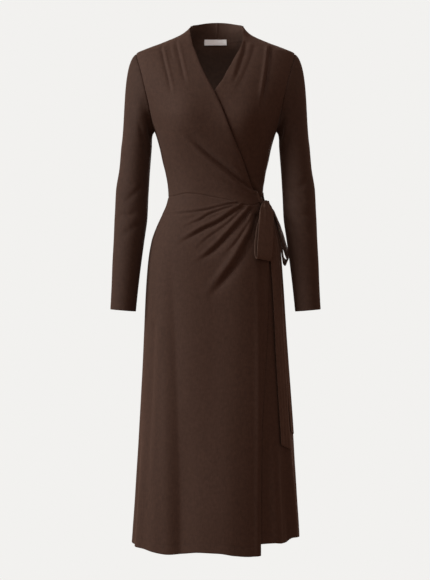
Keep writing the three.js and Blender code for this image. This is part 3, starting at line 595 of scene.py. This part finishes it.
# Seams, hems and edges of a grid
def normals_of(points):
    across = np.gradient(points, axis=1)
    up = np.gradient(points, axis=0)
    return unit(np.cross(across, up))


def way_in(points):
    """Distance of each point from the four sides of its grid, along the cloth."""
    across = np.linalg.norm(np.diff(points, axis=1), axis=-1)
    down = np.linalg.norm(np.diff(points, axis=0), axis=-1)
    u = np.concatenate([np.zeros((len(points), 1)), np.cumsum(across, 1)], 1)
    v = np.concatenate([np.zeros((1, points.shape[1])), np.cumsum(down, 0)], 0)
    return {"first": u, "last": u[:, -1:] - u, "low": v, "high": v[-1:] - v}


def trimmed(points, seams=(), hem=None, relief=0, free=(), flat_seams=()):
    """A grid with its seams drawn in, a stitched hem and rolled free edges."""
    inward = way_in(points)
    middle = inward["first"][:, [points.shape[1] // 2]]
    uv = np.stack([inward["first"] - middle, inward["low"]], -1)
    out = np.zeros(points.shape[:2]) + relief
    for side in [*seams, *flat_seams]:
        out = out - SEAM_DIP * bell(inward[side], SEAM_SPREAD)
    for side in free:
        swell = ROLL_BACK["share"] * bell(inward[side] - ROLL_BACK["at"], ROLL_BACK["spread"])
        out = out - EDGE_ROLL * (bell(inward[side], ROLL_SPREAD) - swell)
    stitch = np.full(points.shape[:2], FAR)
    if hem:
        side, turned = hem
        stitch = inward[side] - turned
        out = out - HEM_DIP * bell(stitch, HEM_SPREAD)
    points = points + normals_of(points) * out[..., None]
    return with_allowance(points, uv, stitch, seams)


def with_allowance(points, uv, stitch, seams):
    """Turns the cloth in along each seam, so that no gap shows between two panels."""
    for side in seams:
        normal = normals_of(points)
        axis = 1 if side in ("first", "last") else 0
        end = slice(0, 1) if side in ("first", "low") else slice(-1, None)
        cut = (slice(None), end) if axis else (end, slice(None))
        turned = points[cut] - normal[cut] * ALLOWANCE
        grids = [(points, turned), (uv, uv[cut]), (stitch, stitch[cut])]
        order = (1, 0) if side in ("first", "low") else (0, 1)
        points, uv, stitch = (
            np.concatenate([pair[order[0]], pair[order[1]]], axis) for pair in grids
        )
    return points, uv, stitch


def on_grid(surface, us, vs, place, **edges):
    angle, z = place(*np.meshgrid(us, vs))
    return trimmed(surface(angle, z), **edges)


def heights(*stretches):
    """Heights from (from, to, step) stretches; a step of None crowds them at both ends."""
    rows = []
    for low, high, step in stretches:
        count = max(2, int(round(abs(high - low) / (step or CROWDED_STEP))))
        t = np.arange(count) / count
        rows.append(mix(low, high, (1 - np.cos(np.pi * t)) / 2 if step is None else t))
    return np.concatenate([*rows, [stretches[-1][1]]])


def shares(count, crowd=0.0):
    """Even shares from 0 to 1, drawn towards both ends by crowd."""
    t = np.linspace(0, 1, count + 1)
    return mix(t, (1 - np.cos(np.pi * t)) / 2, crowd)


SHOULDER = heights(
    (WAIST_Z, WAIST_Z + 5, 0.8), (WAIST_Z + 5, ARMPIT_Z, 2.6),
    (ARMPIT_Z, SHOULDER_TIP_Z, None), (SHOULDER_TIP_Z, NECK_POINT_Z, 2),
)
COLLAR_SHARES = shares(*CELLS["collar_rows"])
COLLAR_ROWS = mix(NECK_POINT_Z, COLLAR_SIDE_Z, COLLAR_SHARES)
BODICE = np.concatenate([SHOULDER[:-1], COLLAR_ROWS])
SKIRT = heights(
    (HEM_Z, HEM_Z + 30, 1.8), (HEM_Z + 30, HIP_Z, 4.4),
    (HIP_Z, WAIST_Z - 5, 2.5), (WAIST_Z - 5, WAIST_Z, 0.8),
)


# The panels
def neck_seam_at(angle):
    return mix(BACK_NECK_Z, NECK_POINT_Z, np.abs(np.sin(np.radians(angle))) ** 2)


def collar_top_at(angle):
    away = np.abs(angle)
    front = mix(COLLAR_FRONT_Z, COLLAR_SIDE_Z, ramp(*COLLAR_CORNER, away))
    sine = np.abs(np.sin(np.radians(angle)))
    fall = sum(share * sine ** power for share, power in COLLAR_ARC)
    behind = mix(COLLAR_BACK_Z, COLLAR_SIDE_Z, fall)
    return np.where(away < 90, front, behind)


def neck_drop(angle, z):
    share = np.maximum(0, z - NECK_POINT_Z) / (COLLAR_SIDE_Z - NECK_POINT_Z)
    return (collar_top_at(angle) - COLLAR_SIDE_Z) * share


def collar(surface, start, end, seam_side):
    def place(angle, v):
        return angle, mix(neck_seam_at(angle), collar_top_at(angle), v)

    angles = mix(start, end, shares(*CELLS["collar"]))
    return on_grid(
        surface, angles, COLLAR_SHARES, place, flat_seams=["low", seam_side], free=["high"]
    )


def is_neck(z):
    return z > NECK_POINT_Z - NECK_MARGIN


def front_over():
    def place(u, z):
        outer = -side_angle(z) + np.where(is_neck(z), 0, SEAM_ANGLE)
        angle = mix(outer, angle_of(over_edge_at(z), z), u)
        dip = (over_waist_at(angle) - WAIST_Z) * ramp(OVER_DIP_Z[0], WAIST_Z, z)
        return angle, z + dip + neck_drop(angle, z)

    body = on_grid(
        over_cloth, shares(*CELLS["front_over"]), BODICE, place,
        seams=["low"], free=["last"], flat_seams=["first"],
    )
    return [body, collar(over_cloth, -180 + SEAM_ANGLE / 2, -90, "first")]


def front_under():
    def place(u, z):
        outer = side_angle(z) - np.where(is_neck(z), 0, SEAM_ANGLE)
        angle = mix(angle_of(under_edge_at(z), z), outer, u)
        return angle, z + neck_drop(angle, z)

    body = on_grid(
        under_cloth, shares(*CELLS["front_under"]), BODICE, place,
        seams=["low"], free=["first"], flat_seams=["last"],
    )
    return [body, collar(under_cloth, 90, 180 - SEAM_ANGLE / 2, "last")]


def bodice_back():
    def place(u, z):
        side = side_angle(z) - SEAM_ANGLE
        angle = mix(180 - side, 180 + side, u)
        return angle, z + (neck_seam_at(angle) - NECK_POINT_Z) * ramp(NECK_CURVE_Z, NECK_POINT_Z, z)

    rows = SHOULDER.copy()
    rows[-1] -= SEAM_GAP
    return [on_grid(
        back_cloth, shares(*CELLS["bodice_back"]), rows, place,
        seams=["first", "last", "low"], flat_seams=["high"],
    )]


def hem_drop(hem, angle, z):
    return (hem(angle) - HEM_Z) * ramp(HEM_DROP_Z, HEM_Z, z)


def skirt(surface, name, place, **edges):
    us = shares(*CELLS[name])
    return [on_grid(surface, us, SKIRT, place, hem=("low", HEM_TURN), **edges)]


def skirt_over():
    def place(u, z):
        angle = mix(-90 + SEAM_ANGLE, angle_of(skirt_edge_at(z), z), u)
        dip = (over_waist_at(angle) - WAIST_Z) * ramp(OVER_DIP_Z[1], WAIST_Z, z)
        return angle, z + dip + hem_drop(hem_over_at, angle, z)

    return skirt(over_cloth, "skirt_over", place, seams=["first", "high"], free=["last"])


def skirt_under():
    def place(u, z):
        wrapped = angle_of(skirt_edge_at(z), z)
        hidden = mix(UNDER_SKIRT_END, wrapped, u / HIDDEN_SHARE)
        shown = mix(wrapped, 90 - SEAM_ANGLE, (u - HIDDEN_SHARE) / (1 - HIDDEN_SHARE))
        angle = np.where(u < HIDDEN_SHARE, hidden, shown)
        return angle, z + hem_drop(hem_under_at, angle, z)

    return skirt(under_cloth, "skirt_under", place, seams=["last", "high"], free=["first"])


def skirt_back():
    def place(u, z):
        angle = mix(90 + SEAM_ANGLE, 270 - SEAM_ANGLE, u)
        return angle, z + hem_drop(hem_back_at, angle, z)

    return skirt(back_cloth, "skirt_back", place, seams=["first", "last", "high"])


# Sleeves
def sleeve_point(turn, z):
    x, y, wide, deep = (at(z) for at in ring_at)
    tilt = CUFF_TILT * ramp(SLEEVE[0][0], SLEEVE[-1][0], z) * np.cos(turn)
    return np.stack([x - wide * np.cos(turn), y - deep * np.sin(turn), z - tilt], -1)


def cap_point(turn, t):
    rise = (1 - np.cos(turn)) / 2
    z = mix(ARMPIT_Z, SHOULDER_TIP_Z, rise)
    side = side_angle(z)
    start = skin(np.where(np.sin(turn) >= 0, side, 180 - side), z)
    end = sleeve_point(turn, np.full(turn.shape, float(SLEEVE[0][0])))
    leave = mix(*np.array(CAP_LEAVE, float), rise[..., None])
    leave[..., 1] += CAP_SWING * np.sin(turn)
    arrive = mix(*np.array(CAP_ARRIVE, float), rise[..., None])
    first = SLEEVE_GAP / np.linalg.norm(leave, axis=-1)
    k = mix(first, 1, t)[..., None]
    return (
        start * (1 + 2 * k) * (1 - k) ** 2 + leave * k * (1 - k) ** 2
        + end * k * k * (3 - 2 * k) + arrive * k * k * (k - 1)
    )


def sleeve(side):
    turns = 2 * np.pi * shares(*CELLS["sleeve"])[::-1]
    cap = cap_point(*np.meshgrid(turns, shares(*CELLS["cap"])))
    arm_rows = heights((SLEEVE[0][0], CUFF_Z, 3.2), (CUFF_Z, SLEEVE[-1][0], 1.8))
    arm = sleeve_point(*np.meshgrid(turns, arm_rows[1:]))
    points = np.concatenate([cap, arm])
    folds = sleeve_relief(np.degrees(turns)[None] + 0 * points[..., 2], points[..., 2])
    points, uv, stitch = trimmed(points, seams=["low"], hem=("high", CUFF_TURN), relief=folds)
    points[:, -1] = points[:, 0]
    return [(points * [side, 1, 1], uv, stitch)]


def sleeve_relief(turn, z):
    out = np.zeros(z.shape)
    for points, depth, width in SLEEVE_FOLDS:
        line = bend_line([(t * ARM_PER_DEGREE, level) for t, level in points])
        distance, along, _ = off_line(line, turn * ARM_PER_DEGREE, z)
        starts, ends = (ramp(*fade, along) for fade in SLEEVE_FADES)
        out -= depth * bell(distance, width) * starts * ends
    return out


# The tie
def off_skin(angle, z, out):
    return skin(angle, z) + normal_of(skin, angle, z) * np.asarray(out)[..., None]


def arc_per_degree(angle, z):
    return np.linalg.norm(skin(angle + 0.5, z) - skin(angle - 0.5, z), axis=-1)


def band_point(angle, z, out, across):
    return off_skin(angle + across / arc_per_degree(angle, z), z, out)


def pleats(across, fade):
    """Lengthwise folds of a band that is gathered into the knot."""
    return fade * sum(height * np.sin(across * waves + shift) for height, waves, shift in PLEATS)


def loop(rows):
    rows = np.array(rows, float)
    count = np.arange(len(rows))
    fine = np.linspace(0, len(rows) - 1, (len(rows) - 1) * LOOP_CELLS + 1)
    angle, z, out, width, tilt, rise = (
        curve(list(zip(count, rows[:, k])))(fine)[:, None] for k in range(6)
    )
    across = (shares(*CELLS["band"])[None] - 0.5) * width
    lift = out + across * np.tan(np.radians(tilt))
    points = band_point(angle, z + rise * across / width, lift, across)
    edge = LOOP_EDGE["dip"] * bell(np.abs(across) - width / 2, LOOP_EDGE["spread"])
    fold = pleats(across, ramp(*LOOP_PLEAT_Z, z)) - edge
    return [trimmed(points, relief=fold)]


def tail(top_angle, angle, low_angle, top_out, low_out, end_z, slant):
    u, v = np.meshgrid(shares(*CELLS["band"]), shares(*CELLS["tail"]))
    z = mix(TAIL_TOP_Z, end_z, v ** TAIL_CROWDING)
    upper = mix(top_angle, angle, ramp(TAIL_TOP_Z, TAIL_TURNED_Z, z))
    middle = mix(upper, low_angle, ramp(TAIL_SWING_Z, end_z, z))
    width = mix(TAIL_TOP_WIDTH, TIE_WIDTH, ramp(TAIL_TOP_Z, TAIL_WIDE_Z, z))
    from_knot = TAIL_RISE * ramp(TAIL_RISE_END_Z, TAIL_TOP_Z, z)
    across = (u - 0.5) * width
    own_angle = middle + across / arc_per_degree(middle, z)
    out = mix(top_out, low_out, ramp(*TAIL_LAID_Z, z)) + from_knot + flute_relief(own_angle, z)
    lower = slant * (u - 0.5) * ramp(TAIL_SLANT_FROM, 1, v)
    points = band_point(middle, z + lower, out, across)
    swing = np.sin(z / TAIL_WAVE["length"] + across / TAIL_WAVE["slant"])
    wave = TAIL_WAVE["out"] * swing * ramp(*TAIL_WAVE["fade"], z)
    fold = pleats(across, TAIL_PLEATS["low"] + TAIL_PLEATS["more"] * ramp(*TAIL_PLEATS["fade"], z))
    return [trimmed(points, relief=-fold - wave)]


def strap(size):
    """A band at the waist, narrowed where it enters the knot and seated on the cloth at its seam."""
    angles = mix(size["from"], size["to"], shares(*CELLS["strap"]))
    angle, v = np.meshgrid(angles, shares(*CELLS["band"]))
    knot_end = size[size["knotted"]]
    near = 1 - np.minimum(1, np.abs(angle - knot_end) / abs(size["to"] - size["from"]))
    height = mix(size["half"], size["end"], ramp(0, 1, near))
    middle = mix(WAIST_Z, KNOT["z"], ramp(0, 1, near))
    rise = (KNOT["out"] - size["out"]) * near ** 3 * mix(1, STRAP_SLOPE, v)
    sewn_on = (size["out"] - STRAP_SEAT) * ramp(STRAP_SEAT_UNTIL, 0, near)
    points = off_skin(angle, middle + (v * 2 - 1) * height, size["out"] + rise - sewn_on)
    sewn = "last" if knot_end == size["from"] else "first"
    across = (v - 0.5) * STRAP_PLEATS["height"]
    folds = STRAP_PLEATS["share"] * pleats(across, ramp(*STRAP_PLEATS["fade"], near))
    return [trimmed(points, relief=folds, seams=[sewn])]


def label():
    u, v = np.meshgrid(shares(*CELLS["label"]), shares(*CELLS["label_rows"]))
    z = mix(LABEL["bottom"], LABEL["top"], v)
    angle = 180 - angle_of(mix(LABEL["half"], -LABEL["half"], u), z)
    inward = CLOTH / 2 + LABEL["gap"] + LABEL["thick"] / 2
    points = back_cloth(angle, z) - normal_of(back_cloth, angle, z) * inward
    return [trimmed(points)]


def knot(name, material):
    """The wrap of the tie: a rounded pad with the band's folds running over it."""
    place = np.array(KNOT["angle"]), np.array(KNOT["z"])
    centre, out = off_skin(*place, KNOT["out"]), normal_of(skin, *place)
    along = unit(np.cross([0, 0, 1], out))
    up = np.cross(out, along)
    around, sideways = KNOT_CELLS
    turn, lat = np.meshgrid(2 * np.pi * shares(around), mix(-1, 1, shares(sideways)))
    wide = np.sign(lat) * np.abs(np.sin(lat * np.pi / 2))
    ring = np.sqrt(np.maximum(0, 1 - wide ** 2)) ** KNOT["round"]
    phase = wide * KNOT_FOLDS["waves"] + KNOT_FOLDS["twist"] * np.sin(turn)
    fold = 1 + KNOT_FOLDS["height"] * np.sin(phase)
    fold = fold + KNOT_FOLDS["fine"] * np.sin(wide * KNOT_FOLDS["fine_waves"])
    a, b, c = (radius - KNOT["inside"] for radius in KNOT["radii"])
    points = (
        centre + out * (np.cos(turn) * ring * fold * a)[..., None]
        + up * (np.sin(turn) * ring * fold * c)[..., None] + along * (wide * b)[..., None]
    )
    return solid(name, points, material)


def solid(name, points, material):
    """A closed body from a grid whose first and last rows shrink to a point."""
    rows, columns = points.shape[0], points.shape[1] - 1
    ids = np.arange(rows * columns).reshape(rows, columns)
    ids[0], ids[-1] = ids[0, 0], ids[-1, 0]
    faces = []
    for r in range(rows - 1):
        for c in range(columns):
            d = (c + 1) % columns
            quad = list(dict.fromkeys([ids[r, c], ids[r, d], ids[r + 1, d], ids[r + 1, c]]))
            faces.append([int(i) for i in quad])
    used = sorted({i for face in faces for i in face})
    order = {old: new for new, old in enumerate(used)}
    flat = points[:, :-1].reshape(-1, 3)[used]
    mesh = bpy.data.meshes.new(name)
    mesh.from_pydata((flat * MM).tolist(), [], [[order[i] for i in face] for face in faces])
    layer = mesh.uv_layers.new(name="cut")
    for loop_item in mesh.loops:
        x, y, z = mesh.vertices[loop_item.vertex_index].co
        layer.data[loop_item.index].uv = (y - x, z)
    note_stitches(mesh, np.full(len(flat), FAR))
    bm = bmesh.new()
    bm.from_mesh(mesh)
    bmesh.ops.recalc_face_normals(bm, faces=bm.faces)
    bm.to_mesh(mesh)
    bm.free()
    mesh.polygons.foreach_set("use_smooth", np.ones(len(mesh.polygons), bool))
    return add(name, mesh, material)


def placed(name, data):
    thing = bpy.data.objects.new(name, data)
    bpy.context.scene.collection.objects.link(thing)
    return thing


def add(name, mesh, material):
    piece = placed(name, mesh)
    mesh.materials.append(material)
    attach(piece, "root")
    return piece


# Materials
class Nodes:
    """Short calls for a material's node tree."""

    def __init__(self, name):
        self.material = bpy.data.materials.new(name)
        self.material.use_nodes = True
        self.tree = self.material.node_tree
        self.tree.nodes.clear()

    def add(self, kind, inputs=None, **settings):
        node = self.tree.nodes.new("ShaderNode" + kind)
        for key, value in settings.items():
            setattr(node, key, value)
        for key, value in (inputs or {}).items():
            if isinstance(value, bpy.types.NodeSocket):
                self.tree.links.new(value, node.inputs[key])
            else:
                node.inputs[key].default_value = value
        return node

    def math(self, operation, *values):
        return self.add("Math", dict(enumerate(values)), operation=operation).outputs[0]

    def ramp(self, value, stops):
        node = self.add("ValToRGB", {0: value})
        elements = node.color_ramp.elements
        while len(elements) < len(stops):
            elements.new(0.5)
        for element, (at, level) in zip(elements, stops):
            element.position, element.color = at, (level, level, level, 1)
        return node.outputs[0]

    def noise(self, vector, scale, detail=2.0, roughness=0.5):
        inputs = {"Vector": vector, "Scale": scale, "Detail": detail, "Roughness": roughness}
        return self.add("TexNoise", inputs).outputs[0]

    def blend(self, share, low, high):
        inputs = {0: share, 6: low, 7: high}
        return self.add("Mix", inputs, data_type="RGBA").outputs[2]

    def total(self, values, weights):
        """The weighted sum of a few values."""
        whole, *rest = (self.math("MULTIPLY", *pair) for pair in zip(values, weights))
        for term in rest:
            whole = self.math("ADD", whole, term)
        return whole

    def done(self, shader):
        self.add("OutputMaterial", {0: shader.outputs[0]})
        return self.material

    def wave(self, value, length):
        return self.math("SINE", self.math("MULTIPLY", value, 2 * math.pi / length))

    def flat_cut(self):
        """The place on the piece's flat cut, and its two coordinates in millimetres."""
        cut = self.add("UVMap", uv_map="cut").outputs[0]
        axes = self.add("SeparateXYZ", {0: cut}).outputs
        return cut, self.math("MULTIPLY", axes[0], 1 / MM), self.math("MULTIPLY", axes[1], 1 / MM)

    def grain(self, u, v, size):
        """Noise that is stretched across and along the cloth."""
        across, along = (
            self.math("MULTIPLY", value, size[way]) for value, way in ((u, "across"), (v, "along"))
        )
        place = self.add("CombineXYZ", {0: across, 1: along}).outputs[0]
        return self.noise(place, size["scale"], size["detail"])

    def stitches(self, place, row, along, size):
        """1 on the dashes of a stitched row at this distance to either side, else 0."""
        away = self.math("ABSOLUTE", self.math("SUBTRACT", self.math("ABSOLUTE", place), row))
        on_row = self.math("LESS_THAN", away, size["half"])
        dash = self.math("GREATER_THAN", self.wave(along, size["length"]), size["dash"])
        return self.math("MULTIPLY", on_row, dash)


def jersey(name, painted_light_and_shade_scale, sheen):
    """Fine single jersey: upright wales, short courses, a heathered yarn and a soft nap."""
    # The yarn colours are scaled here: below 1 it is painted shade (the sleeves), above 1 painted
    # light (the tie), 1 for the dress itself.
    dark, light = DARK_YARN * painted_light_and_shade_scale, LIGHT_YARN * painted_light_and_shade_scale
    n = Nodes(name)
    _, u, v = n.flat_cut()
    wale = n.wave(u, WALE)
    sway = n.math("MULTIPLY", n.wave(u, 2 * WALE), COURSE_SWAY)
    course = n.math("SINE", n.math("ADD", n.math("MULTIPLY", v, 2 * math.pi / COURSE), sway))
    streaks, flecks = n.grain(u, v, STREAKS), n.grain(u, v, FLECKS)
    place = n.add("TexCoord").outputs["Object"]
    wear = n.noise(place, WEAR["scale"], WEAR["detail"])
    tone = n.total((streaks, flecks, wear, wale), TONE)
    stitch = n.add("Attribute", attribute_name="stitch").outputs["Fac"]
    thread = n.stitches(stitch, NEEDLES["row"], u, NEEDLES)
    colour = n.blend(n.ramp(tone, YARN_SPAN), (*dark, 1), (*light, 1))
    sewn = n.blend(n.math("MULTIPLY", thread, NEEDLES["strength"]), colour, (*THREAD, 1))
    height = n.total((wale, course, flecks, thread), HEIGHT)
    bump = n.add("Bump", {"Strength": 0.35, "Distance": 0.12 * MM, "Height": height})
    rough = n.math("ADD", n.math("MULTIPLY", flecks, ROUGH["flecks"]), ROUGH["least"])
    shader = n.add("BsdfPrincipled", {
        "Base Color": sewn, "Roughness": rough, "Normal": bump.outputs[0],
        "Sheen Weight": sheen, "Sheen Roughness": 0.45, "Sheen Tint": (0.90, 0.66, 0.55, 1),
        "Specular IOR Level": 0.25,
    })
    return n.done(shader)


def woven_label(name):
    """A blank satin label: fine cross ribs, and a row of stitches down each end."""
    n = Nodes(name)
    cut, u, v = n.flat_cut()
    rib, warp = n.wave(v, SATIN["rib"]), n.wave(u, SATIN["warp"])
    weave = n.total((rib, warp), SATIN["weave"])
    cloud = n.noise(cut, *SATIN["cloud"])
    thread = n.stitches(u, LABEL["half"] - LABEL_STITCH["inside"], v, LABEL_STITCH)
    colour = n.blend(n.total((cloud, weave), SATIN["tone"]), *SATIN["colours"])
    sewing = n.math("MULTIPLY", thread, LABEL_STITCH["strength"])
    sewn = n.blend(sewing, colour, LABEL_STITCH["colour"])
    height = n.total((weave, thread), SATIN["height"])
    bump = n.add("Bump", {"Strength": 0.4, "Distance": 0.1 * MM, "Height": height})
    shader = n.add("BsdfPrincipled", {
        "Base Color": sewn, "Roughness": 0.5, "Normal": bump.outputs[0],
        "Sheen Weight": 0.2, "Specular IOR Level": 0.4,
    })
    return n.done(shader)


DRESS = jersey("dress_jersey", 1, 0.10)
# The sleeves and the tie get a darker and a lighter copy of the same jersey: painted shade and
# painted light.
SLEEVE_CLOTH_PAINTED_SHADE = jersey("sleeve_jersey_painted_shade", SLEEVE_PAINTED_SHADE, 0.10)
TIE_CLOTH_PAINTED_LIGHT = jersey("tie_jersey_painted_light", TIE_PAINTED_LIGHT, 0.12)
WOVEN = woven_label("label_satin")

# The pieces: node it stands for, grids, thickness, flat cut in metres, the share of that
# rectangle that is cloth, how it is held, and the node whose piece it rests on
SHEETS = [
    ("front_over", front_over(), CLOTH, (0.26, 0.53), 0.65, "stretched", "front_under"),
    ("front_under", front_under(), CLOTH, (0.26, 0.53), 0.63, "stretched", "bodice_back"),
    ("bodice_back", bodice_back(), CLOTH, (0.38, 0.42), 0.88, "stretched", "front_over"),
    ("skirt_over", skirt_over(), CLOTH, (0.40, 0.83), 0.89, "hung", "front_over"),
    ("skirt_under", skirt_under(), CLOTH, (0.42, 0.81), 0.89, "hung", "front_under"),
    ("skirt_back", skirt_back(), CLOTH, (0.54, 0.82), 0.89, "hung", "bodice_back"),
    ("sleeve_left", sleeve(1), CLOTH, (0.30, 0.61), 0.7, "hung", "front_under"),
    ("sleeve_right", sleeve(-1), CLOTH, (0.30, 0.61), 0.7, "hung", "front_over"),
    ("tie_side_strap", strap(SIDE_STRAP), TIE_THICK, (0.024, 0.027), 0.92, "gathered", "skirt_under"),
    ("tie_front_stub", strap(FRONT_STUB), TIE_THICK, (0.024, 0.023), 0.92, "gathered", "skirt_over"),
    ("tie_loop_front", loop(FRONT_LOOP), TIE_THICK, (0.034, 0.33), 0.95, "gathered", "tie_knot"),
    ("tie_loop_side", loop(SIDE_LOOP), TIE_THICK, (0.034, 0.34), 0.95, "gathered", "tie_knot"),
    ("tie_tail_front", tail(*TAIL_FRONT), TIE_THICK, (0.034, 0.57), 1.0, "hung", "tie_knot"),
    ("tie_tail_side", tail(*TAIL_SIDE), TIE_THICK, (0.034, 0.54), 1.0, "hung", "tie_knot"),
    ("neck_label", label(), LABEL["thick"], (0.054, 0.014), 1.0, "laid", "bodice_back"),
]


def cloth_for(node):
    if node == "neck_label":
        return WOVEN
    if node.startswith("tie_"):
        return TIE_CLOTH_PAINTED_LIGHT
    return SLEEVE_CLOTH_PAINTED_SHADE if node.startswith("sleeve_") else DRESS


def dress_up():
    wrap = knot("cloth_tie_knot", TIE_CLOTH_PAINTED_LIGHT)
    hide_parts("tie_knot")
    for node, grids, thick, *rest in SHEETS:
        piece = make("cloth_" + node, grids, cloth_for(node), thick)
        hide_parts(node)


# Studio
def studio():
    scene = bpy.context.scene
    scene.view_settings.view_transform = "Standard"
    scene.view_settings.look = "None"
    world = bpy.data.worlds.new("studio")
    scene.world = world
    world.use_nodes = True
    tree = world.node_tree
    light = tree.nodes["Background"]
    light.inputs[0].default_value = (*AMBIENT_TINT, 1)
    light.inputs[1].default_value = AMBIENT
    paper = tree.nodes.new("ShaderNodeBackground")
    paper.inputs[0].default_value = (*PAPER, 1)
    path, both = tree.nodes.new("ShaderNodeLightPath"), tree.nodes.new("ShaderNodeMixShader")
    tree.links.new(path.outputs["Is Camera Ray"], both.inputs[0])
    tree.links.new(light.outputs[0], both.inputs[1])
    tree.links.new(paper.outputs[0], both.inputs[2])
    tree.links.new(both.outputs[0], tree.nodes["World Output"].inputs[0])
    camera = bpy.data.cameras.new("camera")
    camera.lens, camera.sensor_width = LENS, SENSOR_MM
    camera.clip_end = CLIP_END
    eye = placed("camera", camera)
    eye.location = EYE
    eye.rotation_euler = (math.pi / 2, 0, 0)
    scene.camera = eye
    for name, place, target, size, power in LAMPS:
        lamp = bpy.data.lights.new(name, "AREA")
        lamp.shape, lamp.size, lamp.size_y, lamp.energy = "RECTANGLE", *size, power
        body = placed(name, lamp)
        body.location = place
        way = Vector(target) - Vector(place)
        body.rotation_euler = way.to_track_quat("-Z", "Y").to_euler()
    pale_floor()


def pale_floor():
    """A round pale floor; the room beyond it is as pale."""
    turns = np.radians(np.arange(0, 360, 6))
    points = [(FLOOR_REACH * math.cos(t), FLOOR_REACH * math.sin(t), FLOOR_Z) for t in turns]
    faces = [tuple(range(len(points)))]
    mesh = bpy.data.meshes.new("pale_floor")
    mesh.from_pydata(points, [], faces)
    floor = placed("pale_floor", mesh)
    n = Nodes("floor_paper")
    place = n.add("TexCoord").outputs["Object"]
    grain = n.noise(place, PAPER_GRAIN["scale"], PAPER_GRAIN["detail"])
    share = n.math("ADD", n.math("MULTIPLY", grain, PAPER_GRAIN["more"]), PAPER_GRAIN["least"])
    paper = n.blend(share, (0, 0, 0, 1), (*PAPER, 1))
    glow = n.add("Emission", {0: paper, 1: PAPER_GLOW})
    matt = n.add("BsdfDiffuse", {0: FLOOR_MATT})
    both = n.add("AddShader", {0: glow.outputs[0], 1: matt.outputs[0]})
    mesh.materials.append(n.done(both))
    floor.visible_diffuse = floor.visible_glossy = False


studio()
dress_up()
